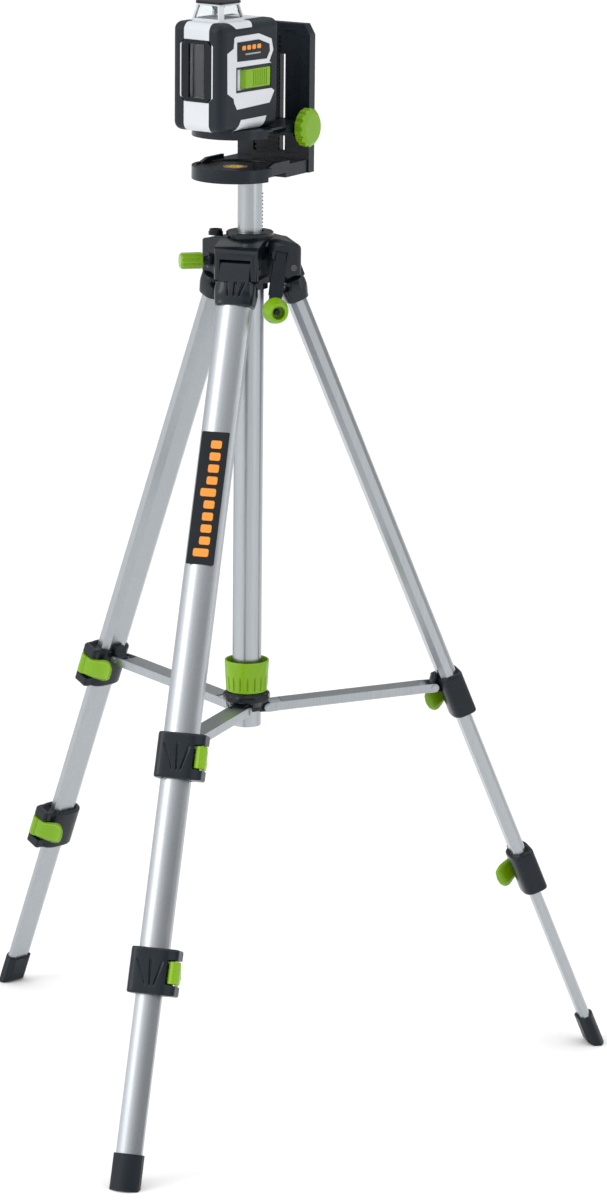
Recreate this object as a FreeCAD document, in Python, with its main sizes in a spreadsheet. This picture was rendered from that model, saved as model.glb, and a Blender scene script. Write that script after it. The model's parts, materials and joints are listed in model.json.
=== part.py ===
import FreeCAD, Part
import math
import os

import Sketcher
from FreeCAD import Placement, Rotation, Vector

# Line laser on a wall and tripod bracket, carried by a crank-column tripod.
# Millimetres. +Z is up, z = 0 is the floor, one leg points along -Y.
# The frame's origin is on the floor under the middle of the whole object;
# the tripod's column stands at (column_x, column_y).

DIMENSIONS = {
    # stance
    "column_x": 0.0, "column_y": 87.42,
    "leg_tilt": 22.35, "pivot_radius": 37.8, "pivot_height": 798.0, "pivot_offset": 5.0,
    # telescopic leg: distances run down the leg from its pivot
    "upper_width": 33.0, "upper_depth": 17.5, "upper_start": 14.0, "upper_end": 474.0,
    "middle_width": 28.4, "middle_depth": 14.2, "middle_start": 245.0, "middle_end": 674.0,
    "lower_width": 24.5, "lower_depth": 11.0, "lower_start": 415.0, "lower_end": 855.0,
    "tube_wall": 1.3,
    "clamp_length": 43.0, "upper_clamp_middle": 460.0, "lower_clamp_middle": 660.0,
    "clamp_half_width": 20.0, "clamp_half_depth": 12.0, "clamp_ear": 7.0,
    "clamp_window": 17.6, "slide_gap": 0.3, "fit_gap": 0.05, "groove_depth": 1.1,
    "lever_barrel": 5.4, "lever_hinge_x": 5.6, "lever_hinge_y": 23.4, "lever_reach": 33.5,
    "lever_thickness": 3.6, "knuckle_width": 38.0, "knuckle_depth": 24.5, "knuckle_end": 33.0,
    "tongue_width": 29.6, "tongue_radius": 9.0, "foot_end": 862.0, "foot_length": 34.0,
    "foot_width": 28.0, "foot_depth": 16.5,
    # spreader
    "hub_radius": 22.0, "hub_height": 18.0, "hub_top": 383.0, "hub_pin_radius": 20.0,
    "hub_pin_height": 366.5, "lug_pin_inset": 18.1, "lug_pin_distance": 445.0,
    "brace_width": 20.0, "brace_height": 8.4, "brace_gauge": 1.4, "rivet_radius": 2.0,
    "lug_width": 12.0, "collar_height": 31.0, "collar_radius": 21.5, "collet_radius": 16.4,
    # head and column
    "guide_radius": 14.0, "guide_bore": 12.6, "guide_bottom": 349.0, "guide_top": 797.0,
    "column_radius": 11.75, "column_wall": 1.7, "column_bottom": 470.0, "column_top": 878.3,
    "head_bottom": 784.0, "head_top": 820.0, "cheek_bottom": 790.5, "cheek_gap": 30.4,
    "cheek_width": 43.4, "fork_reach": 46.0, "fork_round": 9.0, "slot_top": 810.0, "core_radius": 20.0,
    "cover_top": 826.0, "flange_radius": 22.5, "flange_top": 831.0,
    "rack_module": 1.1, "rack_line": 11.0, "rack_width": 7.6, "pinion_teeth": 16.0,
    "crank_height": 815.0, "shaft_radius": 3.0, "boss_radius": 10.0, "boss_face": 25.5,
    "crank_length": 50.0, "crank_angle": 11.4, "crank_knob_length": 18.0,
    "crank_hub_length": 22.5, "crank_slope": 17.0,
    "crank_knob_radius": 12.3,
    "lock_height": 804.0, "lock_knob_start": 46.0, "lock_knob_length": 21.5,
    "lock_knob_radius": 7.8,
    # bracket: distances run forward from the column axis
    "arm_azimuth": 256.0, "arm_bottom": 884.3, "arm_thickness": 12.6, "disc_reach": 27.0,
    "disc_radius": 41.0, "plate_front": 41.0, "plate_thickness": 10.0, "plate_width": 79.0,
    "plate_height": 140.0, "plate_rim": 7.0, "recess_low": 17.2, "recess_depth": 3.0,
    "slot_low": 5.4, "slot_high": 11.0,
    "insert_radius": 11.5, "insert_thread": 7.1, "insert_height": 11.0, "stud_thread": 3.1,
    "platform_bottom": 925.2, "platform_thickness": 8.3, "platform_width": 76.0,
    "carriage_height": 14.0, "dial_radius": 18.2, "dial_thickness": 10.5,
    # laser: its frame stands on the platform, x along the window's normal
    "laser_azimuth": 250.0, "laser_length": 89.0, "laser_width": 59.0, "laser_height": 101.0,
    "laser_lead": 15.0, "laser_round": 8.0, "band_width": 29.5,
    "turret_lead": 27.2, "turret_base": 37.7, "turret_top": 30.0, "turret_height": 15.9,
    "cap_width": 32.0, "cap_thickness": 2.4, "window_width": 18.0, "window_height": 50.0,
    "window_middle": 56.6, "bezel_width": 35.0, "bezel_height": 57.5, "surround": 1.7,
}

LEG_AZIMUTHS = {"front": 270.0, "left": 150.0, "right": 30.0}
CRANK_AZIMUTH = 30.0
LOCK_AZIMUTH = 210.0

doc = FreeCAD.newDocument("laser_level_on_tripod")
sheet = doc.addObject("Spreadsheet::Sheet", "dims")
sub_parts = []


class Size:
    """A length with the sheet formula that it is bound to."""

    def __init__(self, value, formula):
        self.value = value
        self.formula = formula

    def __add__(self, other):
        other = sized(other)
        return Size(self.value + other.value, f"({self.formula} + {other.formula})")

    def __sub__(self, other):
        other = sized(other)
        return Size(self.value - other.value, f"({self.formula} - {other.formula})")

    def __mul__(self, other):
        other = sized(other)
        return Size(self.value * other.value, f"({self.formula} * {other.formula})")

    def __truediv__(self, other):
        other = sized(other)
        return Size(self.value / other.value, f"({self.formula} / {other.formula})")

    def __radd__(self, other):
        return sized(other) + self

    def __rsub__(self, other):
        return sized(other) - self

    def __rmul__(self, other):
        return sized(other) * self

    def __neg__(self):
        return Size(-self.value, f"(-1 * {self.formula})")


def sized(value):
    return value if isinstance(value, Size) else Size(float(value), f"{float(value):.6f}")


class Dims:
    """The sheet's cells by name."""


d = Dims()
for row, (name, value) in enumerate(DIMENSIONS.items(), start=1):
    sheet.set(f"A{row}", name)
    sheet.set(f"B{row}", str(value))
    sheet.setAlias(f"B{row}", name)
    setattr(d, name, Size(value, f"dims.{name}"))
doc.recompute()


# ---------------------------------------------------------------- building blocks


def bind(item, **sizes):
    """Sets properties and ties each to its formula."""
    for prop, size in sizes.items():
        size = sized(size)
        setattr(item, prop, size.value)
        item.setExpression(prop, size.formula)


def place_at(item, x, y, z, turn=Rotation()):
    x, y, z = sized(x), sized(y), sized(z)
    item.Placement = Placement(Vector(x.value, y.value, z.value), turn)
    for axis, size in (("x", x), ("y", y), ("z", z)):
        item.setExpression(f"Placement.Base.{axis}", size.formula)


def box(x, y, z, middle):
    """A block of size x, y, z with its middle at the given point."""
    item = doc.addObject("Part::Box", "block")
    bind(item, Length=x, Width=y, Height=z)
    place_at(item, middle[0] - sized(x) / 2, middle[1] - sized(y) / 2, middle[2] - sized(z) / 2)
    return item


ALONG = {
    "+x": Rotation(Vector(0, 0, 1), Vector(1, 0, 0)),
    "+y": Rotation(Vector(0, 0, 1), Vector(0, 1, 0)),
    "-y": Rotation(Vector(0, 0, 1), Vector(0, -1, 0)),
    "+z": Rotation(),
}


def rod(radius, length, start, along="+z"):
    """A cylinder that leaves the point start along an axis."""
    item = doc.addObject("Part::Cylinder", "rod")
    bind(item, Radius=radius, Height=length)
    place_at(item, *start, ALONG[along])
    return item


def cone(radius, end_radius, length, start, along="+z"):
    item = doc.addObject("Part::Cone", "cone")
    bind(item, Radius1=radius, Radius2=end_radius, Height=length)
    place_at(item, *start, ALONG[along])
    return item


def fuse(*items):
    item = doc.addObject("Part::MultiFuse", "joined")
    item.Shapes = list(items)
    item.Refine = True
    return item


def cut(base, *tools):
    item = doc.addObject("Part::Cut", "cut")
    item.Base = base
    item.Tool = tools[0] if len(tools) == 1 else fuse(*tools)
    item.Refine = True
    return item


def common(first, second):
    item = doc.addObject("Part::Common", "kept")
    item.Base = first
    item.Tool = second
    return item


def group(*items):
    """Separate solids that share one sub-part."""
    item = doc.addObject("Part::Compound", "group")
    item.Links = list(items)
    return item


def rounded(item, radius, wanted):
    """Rounds the edges that the test wanted(edge) picks."""
    doc.recompute()
    numbers = [i for i, edge in enumerate(item.Shape.Edges, start=1) if wanted(edge)]
    fillet = doc.addObject("Part::Fillet", "rounded")
    fillet.Base = item
    value = sized(radius).value
    fillet.Edges = [(number, value, value) for number in numbers]
    return fillet


def upright(edge):
    """True for a straight edge along z."""
    span = edge.BoundBox
    return span.ZLength > 1.0 and span.XLength < 0.01 and span.YLength < 0.01


class Corner:
    """A corner of an outline. With a centre, the edge after it is an arc about that centre."""

    def __init__(self, x, y, centre=None):
        self.x = sized(x)
        self.y = sized(y)
        self.centre = centre and (sized(centre[0]), sized(centre[1]))

    def point(self):
        return Vector(self.x.value, self.y.value, 0)


def anticlockwise_arc(corner, end):
    centre = Vector(corner.centre[0].value, corner.centre[1].value, 0)
    start = corner.point() - centre
    stop = end - centre
    first = math.atan2(start.y, start.x)
    last = math.atan2(stop.y, stop.x)
    if last <= first:
        last += 2 * math.pi
    circle = Part.Circle(centre, Vector(0, 0, 1), start.Length)
    return Part.ArcOfCircle(circle, first, last)


def bow_radius(half_chord, rise):
    """The radius of an arc from half its chord and its height."""
    return (half_chord * half_chord + rise * rise) / (2 * rise)


def draw(profile, corners):
    """Adds a closed outline, anticlockwise, with every corner bound to the sheet."""
    first = len(profile.Geometry)
    count = len(corners)
    for i, corner in enumerate(corners):
        end = corners[(i + 1) % count].point()
        if corner.centre:
            edge = anticlockwise_arc(corner, end)
        else:
            edge = Part.LineSegment(corner.point(), end)
        profile.addGeometry(edge, False)
    for i, corner in enumerate(corners):
        edge = first + i
        following = first + (i + 1) % count
        profile.addConstraint(Sketcher.Constraint("Coincident", edge, 2, following, 1))
        tied = [("DistanceX", 1, corner.x), ("DistanceY", 1, corner.y)]
        if corner.centre:
            # The centre lies midway between the arc's ends, so one coordinate fixes it.
            chord = corners[(i + 1) % count].point() - corner.point()
            if abs(chord.x) > abs(chord.y):
                tied.append(("DistanceY", 3, corner.centre[1]))
            else:
                tied.append(("DistanceX", 3, corner.centre[0]))
        for kind, end, size in tied:
            index = profile.addConstraint(Sketcher.Constraint(kind, edge, end, size.value))
            profile.setExpression(f"Constraints[{index}]", size.formula)


def sketch(body, role, *outlines, height=0):
    """A sketch on one of the body's origin planes, moved along its normal by height."""
    profile = body.newObject("Sketcher::SketchObject", "profile")
    plane = next(f for f in body.Origin.OriginFeatures if f.Role == role)
    profile.AttachmentSupport = [(plane, "")]
    profile.MapMode = "FlatFace"
    height = sized(height)
    profile.AttachmentOffset = Placement(Vector(0, 0, height.value), Rotation())
    profile.setExpression("AttachmentOffset.Base.z", height.formula)
    for outline in outlines:
        draw(profile, outline)
    return profile


def new_body():
    return doc.addObject("PartDesign::Body", "body")


def pad(body, profile, length, both_sides=False, backwards=False):
    feature = body.newObject("PartDesign::Pad", "pad")
    feature.Profile = profile
    bind(feature, Length=length)
    feature.SideType = "Symmetric" if both_sides else "One side"
    feature.Reversed = backwards
    return feature


def pocket(body, profile, length, both_sides=False, backwards=False):
    feature = body.newObject("PartDesign::Pocket", "pocket")
    feature.Profile = profile
    bind(feature, Length=length)
    feature.SideType = "Symmetric" if both_sides else "One side"
    feature.Reversed = backwards
    return feature


def revolve(body, profile):
    feature = body.newObject("PartDesign::Revolution", "turned")
    feature.Profile = profile
    feature.ReferenceAxis = (profile, ["V_Axis"])
    feature.Angle = 360
    return feature


def repeat_round(body, feature, times):
    """Repeats a feature round the body's z axis."""
    pattern = body.newObject("PartDesign::PolarPattern", "repeated")
    pattern.Originals = [feature]
    z_axis = next(f for f in body.Origin.OriginFeatures if f.Role == "Z_Axis")
    pattern.Axis = (z_axis, [""])
    pattern.Angle = 360
    pattern.Occurrences = times
    body.Tip = pattern
    return pattern


def outline(*points):
    return [Corner(x, y) for x, y in points]


def ring_section(inner, outer, low, high):
    return outline((inner, low), (outer, low), (outer, high), (inner, high))


def turned(*outlines):
    """A body of revolution about z; each outline is in radius and height."""
    body = new_body()
    revolve(body, sketch(body, "XZ_Plane", *outlines))
    return body


def finish(item, label, placement):
    """Gives a sub-part its name and its place in the object's frame."""
    doc.recompute()
    item.Label = label
    item.Placement = placement
    sub_parts.append(item)


# ---------------------------------------------------------------- frames


def column_frame(height=0.0, azimuth=0.0):
    """A frame on the column's axis, its x axis along the azimuth."""
    base = Vector(d.column_x.value, d.column_y.value, height)
    return Placement(base, Rotation(Vector(0, 0, 1), azimuth))


def leg_frame(azimuth):
    """x is outward across the leg, z is up along it; the origin is level with the pivot."""
    tilt = math.radians(d.leg_tilt.value)
    inset = d.pivot_offset.value
    base = Vector(
        d.pivot_radius.value - inset * math.cos(tilt),
        0,
        d.pivot_height.value - inset * math.sin(tilt),
    )
    lean = Placement(base, Rotation(Vector(0, 1, 0), -d.leg_tilt.value))
    return column_frame(0, azimuth).multiply(lean)


def brace_ends():
    """Radius and height of a brace's hub pin and clamp pin."""
    tilt = math.radians(d.leg_tilt.value)
    across = d.pivot_offset.value + d.lug_pin_inset.value
    down = d.lug_pin_distance.value
    radius = d.pivot_radius.value - across * math.cos(tilt) + down * math.sin(tilt)
    height = d.pivot_height.value - across * math.sin(tilt) - down * math.cos(tilt)
    return (d.hub_pin_radius.value, d.hub_pin_height.value), (radius, height)


def brace_frame(azimuth):
    """x runs along the brace from its hub pin to its clamp pin."""
    inner, outer = brace_ends()
    rise = math.degrees(math.atan2(outer[1] - inner[1], outer[0] - inner[0]))
    base = Vector(inner[0], 0, inner[1])
    lean = Placement(base, Rotation(Vector(0, 1, 0), -rise))
    return column_frame(0, azimuth).multiply(lean)


def crank_frame():
    """z is the crankshaft, square to the right leg's plane; y is up."""
    turn = Rotation(Vector(1, 0, 0), Vector(0, 0, 1), Vector(0, -1, 0), "ZXY")
    pinion_radius = d.rack_module.value * d.pinion_teeth.value / 2
    base = Vector(d.rack_line.value + pinion_radius, 0, d.crank_height.value)
    return column_frame(0, CRANK_AZIMUTH).multiply(Placement(base, turn))


def bracket_frame():
    return column_frame(d.arm_bottom.value, d.arm_azimuth.value)


def laser_frame():
    arm = math.radians(d.arm_azimuth.value)
    base = Vector(
        d.column_x.value + d.disc_reach.value * math.cos(arm),
        d.column_y.value + d.disc_reach.value * math.sin(arm),
        d.platform_bottom.value + d.platform_thickness.value,
    )
    return Placement(base, Rotation(Vector(0, 0, 1), d.laser_azimuth.value))


# ---------------------------------------------------------------- leg pieces


def tube_outline(width, depth):
    """The leg section: a flat inner face, bevelled corners and a convex outer face."""
    flat = 0.30 * width
    side = 0.5 * width
    bevel = -0.24 * depth
    shoulder = 0.15 * depth
    bow = bow_radius(side, 0.35 * depth)
    return [
        Corner(-depth / 2, -flat),
        Corner(bevel, -side),
        Corner(shoulder, -side, centre=(depth / 2 - bow, 0)),
        Corner(shoulder, side),
        Corner(bevel, side),
        Corner(-depth / 2, flat),
    ]


def leg_tube(width, depth, start, end):
    body = new_body()
    outer = tube_outline(width, depth)
    inner = tube_outline(width - 2 * d.tube_wall, depth - 2 * d.tube_wall)
    profile = sketch(body, "XY_Plane", outer, inner, height=-end)
    pad(body, profile, end - start)
    return body


def knuckle():
    """The plastic leg top: a round tongue on the pivot and a barrel over the tube."""
    body = new_body()
    half = d.knuckle_width / 2
    deep = d.knuckle_depth / 2
    bow = bow_radius(half, 0.8 * deep)
    barrel = [
        Corner(-deep, -0.55 * half),
        Corner(-0.3 * deep, -half),
        Corner(0.2 * deep, -half, centre=(deep - bow, 0)),
        Corner(0.2 * deep, half),
        Corner(-0.3 * deep, half),
        Corner(-deep, 0.55 * half),
    ]
    shoulder = sized(11.0)
    pad(body, sketch(body, "XY_Plane", barrel, height=-d.knuckle_end), d.knuckle_end - shoulder)
    across = d.pivot_offset
    reach = d.tongue_radius
    tongue = [
        Corner(across - reach, -shoulder - 1),
        Corner(across + reach, -shoulder - 1),
        Corner(across + reach, 0, centre=(across, 0)),
        Corner(across - reach, 0),
    ]
    pad(body, sketch(body, "XZ_Plane", tongue), d.tongue_width, both_sides=True)
    socket = tube_outline(d.upper_width + 2 * d.fit_gap, d.upper_depth + 2 * d.fit_gap)
    profile = sketch(body, "XY_Plane", socket, height=-d.knuckle_end)
    pocket(body, profile, d.knuckle_end - d.upper_start, backwards=True)
    for slope, middle in ((-0.20, -6.5), (0.0, 0.0), (0.20, 6.5)):
        carve_groove(body, middle, slope, -13.5, -28.0, 13.6)
    return body


def carve_groove(body, middle, slope, top, bottom, face):
    """A slim tapered groove in the outer face; slope leans its top sideways."""
    lean = slope * (top - bottom)
    wide = sized(1.5)
    mark = outline(
        (middle - lean / 2 - 0.2, bottom),
        (middle - lean / 2 + 0.2, bottom),
        (middle + lean / 2 + wide / 2, top),
        (middle + lean / 2 - wide / 2, top),
    )
    # The YZ plane's normal is +x: the groove is cut inward from beyond the face.
    profile = sketch(body, "YZ_Plane", mark, height=face)
    pocket(body, profile, face - (d.knuckle_depth / 2 - 3 * d.groove_depth))


def clamp_outline():
    """A clamp's section: bowed outside, with ears on the lever's side."""
    low = -d.clamp_half_width
    high = d.clamp_half_width
    front = d.clamp_half_depth
    back = -front
    top = high + d.clamp_ear
    bow = bow_radius((top - low) / 2, 4.0)
    return [
        Corner(back, low + 4.0),
        Corner(back + 3.5, low),
        Corner(front - 4.0, low, centre=(front - bow, (top + low) / 2)),
        Corner(front - 4.0, top),
        Corner(-1.0, top),
        Corner(-4.5, high),
        Corner(back + 3.5, high),
        Corner(back, high - 4.0),
    ]


def clamp(width, depth, next_width, next_depth, middle, lug):
    """One flip clamp; the tube above ends in it and the next tube slides through it."""
    body = new_body()
    half = d.clamp_length / 2
    foot = middle + half
    pad(body, sketch(body, "XY_Plane", clamp_outline(), height=-foot), d.clamp_length)
    front = d.clamp_half_depth
    if lug:
        pin = -d.lug_pin_distance
        reach = d.lug_pin_inset + 3.2
        side = [
            Corner(2 - front, pin - 9),
            Corner(2 - front, pin + 11),
            Corner(-front - 1.0, pin + 11),
            Corner(-reach, pin + 3.2, centre=(-d.lug_pin_inset, pin)),
            Corner(-reach, pin - 3.2),
        ]
        pad(body, sketch(body, "XZ_Plane", side), d.lug_width, both_sides=True)
        hole = round_corner(-d.lug_pin_inset, pin, d.rivet_radius + d.fit_gap)
        pocket(body, sketch(body, "XZ_Plane", hole), d.lug_width + 4, both_sides=True)
    lip = sized(7.0)
    seat = tube_outline(width + 2 * d.fit_gap, depth + 2 * d.fit_gap)
    profile = sketch(body, "XY_Plane", seat, height=-(middle - half) + 1)
    pocket(body, profile, d.clamp_length - lip + 1)
    slide = tube_outline(next_width + 2 * d.slide_gap, next_depth + 2 * d.slide_gap)
    pocket(body, sketch(body, "XY_Plane", slide, height=-foot + lip + 1), lip + 2)
    window = outline(
        (-5, d.clamp_window), (20, d.clamp_window), (20, 40), (-20, 40), (-20, d.clamp_half_width),
        (-5, d.clamp_half_width),
    )
    pocket(body, sketch(body, "XY_Plane", window, height=-middle + 11.2), 22.4)
    for slope, across in ((-0.22, -10.5), (0.14, -3.0), (0.46, 5.0)):
        clamp_groove(body, across, slope, middle, front)
    return body


def round_corner(x, y, radius):
    """A full circle as two arcs."""
    x, y, radius = sized(x), sized(y), sized(radius)
    return [
        Corner(x - radius, y, centre=(x, y)),
        Corner(x + radius, y, centre=(x, y)),
    ]


def clamp_groove(body, across, slope, middle, front):
    """A slim groove on the clamp's outer face, cut inward from beyond it."""
    low = -middle - 12.5
    high = -middle + 11.0
    lean = slope * 23.5
    mark = outline(
        (across - 0.3, low),
        (across + 0.3, low),
        (across + lean + 1.2, high),
        (across + lean - 1.2, high),
    )
    profile = sketch(body, "YZ_Plane", mark, height=front + 3)
    pocket(body, profile, 3 + 1.0 + d.groove_depth)


def lever(middle):
    """A flip lever: a barrel between the clamp's ears and a plate round to the inner side."""
    body = new_body()
    radius = d.lever_barrel
    hinge_x = d.lever_hinge_x
    hinge_y = d.lever_hinge_y
    tall = sized(21.6)
    low = -middle - tall / 2
    barrel = round_corner(hinge_x, hinge_y, radius)
    pad(body, sketch(body, "XY_Plane", barrel, height=low), tall)
    outer = hinge_y + radius
    inner = outer - d.lever_thickness
    tip = hinge_x - d.lever_reach
    plate = outline(
        (tip, inner - 2.6), (tip + 10, inner - 0.8), (hinge_x, inner), (hinge_x, outer),
        (tip + 12, outer - 0.6), (tip, outer - 2.4),
    )
    pad(body, sketch(body, "XY_Plane", plate, height=low), tall)
    paddle = outline(
        (tip, inner - 2.6), (tip + 10, inner - 0.8), (tip + 13, inner - 0.6),
        (tip + 12, outer - 0.6), (tip, outer - 2.4),
    )
    flare = sized(3.0)
    pad(body, sketch(body, "XY_Plane", paddle, height=low - flare), tall + 2 * flare)
    return body


def foot():
    """The rubber shoe, its sole level with the floor and rolled up on the inner side."""
    body = new_body()
    width = d.foot_width
    depth = d.foot_depth
    top = d.foot_end - d.foot_length
    pad(body, sketch(body, "XY_Plane", tube_outline(width, depth), height=-d.foot_end), d.foot_length)
    bore = tube_outline(d.lower_width + 2 * d.fit_gap, d.lower_depth + 2 * d.fit_gap)
    pocket(body, sketch(body, "XY_Plane", bore, height=-top), d.lower_end - top)
    return cut(body, floor_prism())


def floor_prism():
    """The space below the floor and under the sole's rolled edge, in the leg's own frame."""
    tilt = math.radians(d.leg_tilt.value)
    inset = d.pivot_offset.value
    origin_radius = d.pivot_radius.value - inset * math.cos(tilt)
    origin_height = d.pivot_height.value - inset * math.sin(tilt)
    middle = origin_radius + origin_height * math.tan(tilt)
    roll = 15.0
    flat = middle - 1.0

    def at(radius, height):
        out = radius - origin_radius
        up = height - origin_height
        x = out * math.cos(tilt) + up * math.sin(tilt)
        return Vector(x, 0, up * math.cos(tilt) - out * math.sin(tilt))

    edges = [
        Part.Arc(
            at(flat - roll, roll), at(flat - roll * 0.7071, roll * 0.2929), at(flat, 0)
        ).toShape(),
        Part.makeLine(at(flat, 0), at(middle + 30, 0)),
        Part.makeLine(at(middle + 30, 0), at(middle + 30, -60)),
        Part.makeLine(at(middle + 30, -60), at(flat - roll, -60)),
        Part.makeLine(at(flat - roll, -60), at(flat - roll, roll)),
    ]
    face = Part.Face(Part.Wire(edges))
    face.translate(Vector(0, -40, 0))
    item = doc.addObject("Part::Feature", "floor")
    item.Shape = face.extrude(Vector(0, 80, 0))
    return item


def make_legs():
    for side, azimuth in LEG_AZIMUTHS.items():
        frame = leg_frame(azimuth)
        upper = (d.upper_width, d.upper_depth)
        middle = (d.middle_width, d.middle_depth)
        lower = (d.lower_width, d.lower_depth)
        finish(knuckle(), f"{side}_knuckle", frame)
        finish(leg_tube(*upper, d.upper_start, d.upper_end), f"{side}_upper_tube", frame)
        finish(leg_tube(*middle, d.middle_start, d.middle_end), f"{side}_middle_tube", frame)
        finish(leg_tube(*lower, d.lower_start, d.lower_end), f"{side}_lower_tube", frame)
        upper_clamp = clamp(*upper, *middle, d.upper_clamp_middle, lug=True)
        finish(upper_clamp, f"{side}_upper_clamp", frame)
        lower_clamp = clamp(*middle, *lower, d.lower_clamp_middle, lug=False)
        finish(lower_clamp, f"{side}_lower_clamp", frame)
        finish(lever(d.upper_clamp_middle), f"{side}_upper_lever", frame)
        finish(lever(d.lower_clamp_middle), f"{side}_lower_lever", frame)
        finish(foot(), f"{side}_foot", frame)
        finish(make_brace(), f"{side}_brace", brace_frame(azimuth))


def make_brace():
    """A channel with its web on top, cut back at both ends to two round ears, and its rivets."""
    inner, outer = brace_ends()
    length = sized(math.dist(inner, outer))
    body = new_body()
    high = sized(4.6)
    low = high - d.brace_height
    half = d.brace_width / 2
    gauge = d.brace_gauge
    ear = sized(4.2)
    side = [
        Corner(0, ear, centre=(0, 0)),
        Corner(0, -ear),
        Corner(12, low),
        Corner(length - 12, low),
        Corner(length, -ear, centre=(length, 0)),
        Corner(length, ear),
        Corner(length - 12, high),
        Corner(12, high),
    ]
    pad(body, sketch(body, "XZ_Plane", side), d.brace_width, both_sides=True)
    hollow = outline(
        (-20, -half + gauge), (length + 20, -half + gauge),
        (length + 20, half - gauge), (-20, half - gauge),
    )
    pocket(body, sketch(body, "XY_Plane", hollow, height=high - gauge), 20)
    for start, stop in ((-20, 14.5), (length - 14.5, length + 20)):
        mouth = outline(
            (start, -half + gauge), (stop, -half + gauge), (stop, half - gauge), (start, half - gauge)
        )
        pocket(body, sketch(body, "XY_Plane", mouth, height=high + 5), 20)
    rivets = []
    for x in (0, length):
        hole = rod(d.rivet_radius, d.brace_width + 10, (x, -half - 5, 0), "+y")
        shank = rod(d.rivet_radius, d.brace_width, (x, -half, 0), "+y")
        near = rod(d.rivet_radius + 1.2, 0.9, (x, -half - 0.9, 0), "+y")
        far = rod(d.rivet_radius + 1.2, 0.9, (x, half, 0), "+y")
        rivets.append((hole, fuse(shank, near, far)))
    channel = cut(body, rivets[0][0], rivets[1][0])
    return group(channel, rivets[0][1], rivets[1][1])


# ---------------------------------------------------------------- spreader


def make_spreader():
    """The sliding hub with three lugs, and the screw collar that locks it."""
    gap = d.slide_gap
    bore = d.guide_radius + gap
    disc_low = d.hub_top - d.hub_height
    ring = turned(
        [
            Corner(bore, disc_low),
            Corner(d.guide_radius + 3, disc_low),
            Corner(d.hub_radius - 4.6, disc_low + 4),
            Corner(d.hub_radius, disc_low + 10),
            Corner(d.hub_radius, d.hub_top - 3),
            Corner(d.hub_radius - 2, d.hub_top - 0.4),
            Corner(d.collet_radius, d.hub_top - 0.4),
            Corner(d.collet_radius, d.hub_top + d.collar_height - 5),
            Corner(bore, d.hub_top + d.collar_height - 5),
        ]
    )
    lugs = []
    holes = []
    half_lug = d.lug_width / 2 + 1.8
    for azimuth in LEG_AZIMUTHS.values():
        turn = Rotation(Vector(0, 0, 1), azimuth)
        pin = Vector(d.hub_pin_radius.value, 0, d.hub_pin_height.value)
        lug = fuse(
            rod(4.3, d.lug_width + 3.6, (0, -(d.lug_width + 3.6) / 2, 0), "+y"),
            box(9, d.lug_width + 3.6, 8.6, (-4.2, 0, 0)),
            box(8, d.lug_width + 3.6, 14, (-5.0, 0, 4.5)),
        )
        doc.recompute()
        lug.Placement = Placement(turn.multVec(pin), turn)
        lugs.append(lug)
        hole = rod(d.rivet_radius + d.fit_gap, 40, (0, -20, 0), "+y")
        ear_room = [
            box(20, 3.8, 12.4, (4.9, sign * (half_lug + 2.1), 0.2)) for sign in (-1, 1)
        ]
        carrier = group(hole, *ear_room)
        carrier.Placement = lug.Placement
        holes.append(carrier)
    # Lugs stop short of the tube.
    tube_space = rod(bore, 200, (0, 0, disc_low - 60))
    hub = cut(fuse(ring, *lugs), tube_space, *holes)
    finish(hub, "spreader_hub", column_frame())

    low = d.hub_top
    collar = new_body()
    grip = sketch(
        collar,
        "XZ_Plane",
        outline(
            (d.collet_radius + gap, low),
            (d.collar_radius, low),
            (d.collar_radius, low + 3),
            (d.collar_radius - 1.4, low + d.collar_height),
            (d.collet_radius + 1.6, low + d.collar_height),
            (d.collet_radius + 1.4, low + d.collar_height - 5),
            (d.collet_radius + gap, low + d.collar_height - 7),
        ),
    )
    revolve(collar, grip)
    flute = round_corner(d.collar_radius + 1.4, 0, 2.2)
    profile = sketch(collar, "XY_Plane", flute, height=low + 17)
    groove = pocket(collar, profile, 15)
    repeat_round(collar, groove, 16)
    finish(collar, "spreader_collar", column_frame())


# ---------------------------------------------------------------- head and column


def fork_block(low, high):
    """One fork's solid between two heights, rounded in plan and over its outer top edge."""
    reach = d.fork_reach
    half = d.cheek_width / 2
    round_top = d.fork_round
    side = new_body()
    profile = [
        Corner(0, low),
        Corner(reach, low),
        Corner(reach, d.cover_top - 4 - round_top, centre=(reach - round_top, d.cover_top - 4 - round_top)),
        Corner(reach - round_top, d.cover_top - 4),
        Corner(d.flange_radius, d.cover_top),
        Corner(0, d.cover_top),
    ]
    pad(side, sketch(side, "XZ_Plane", profile), d.cheek_width, both_sides=True)
    plan = new_body()
    bend = sized(5.0)
    rounded_plan = [
        Corner(0, -half),
        Corner(reach - bend, -half, centre=(reach - bend, -half + bend)),
        Corner(reach, -half + bend),
        Corner(reach, half - bend, centre=(reach - bend, half - bend)),
        Corner(reach - bend, half),
        Corner(0, half),
    ]
    pad(plan, sketch(plan, "XY_Plane", rounded_plan, height=low), high - low)
    return common(side, plan)


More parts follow.
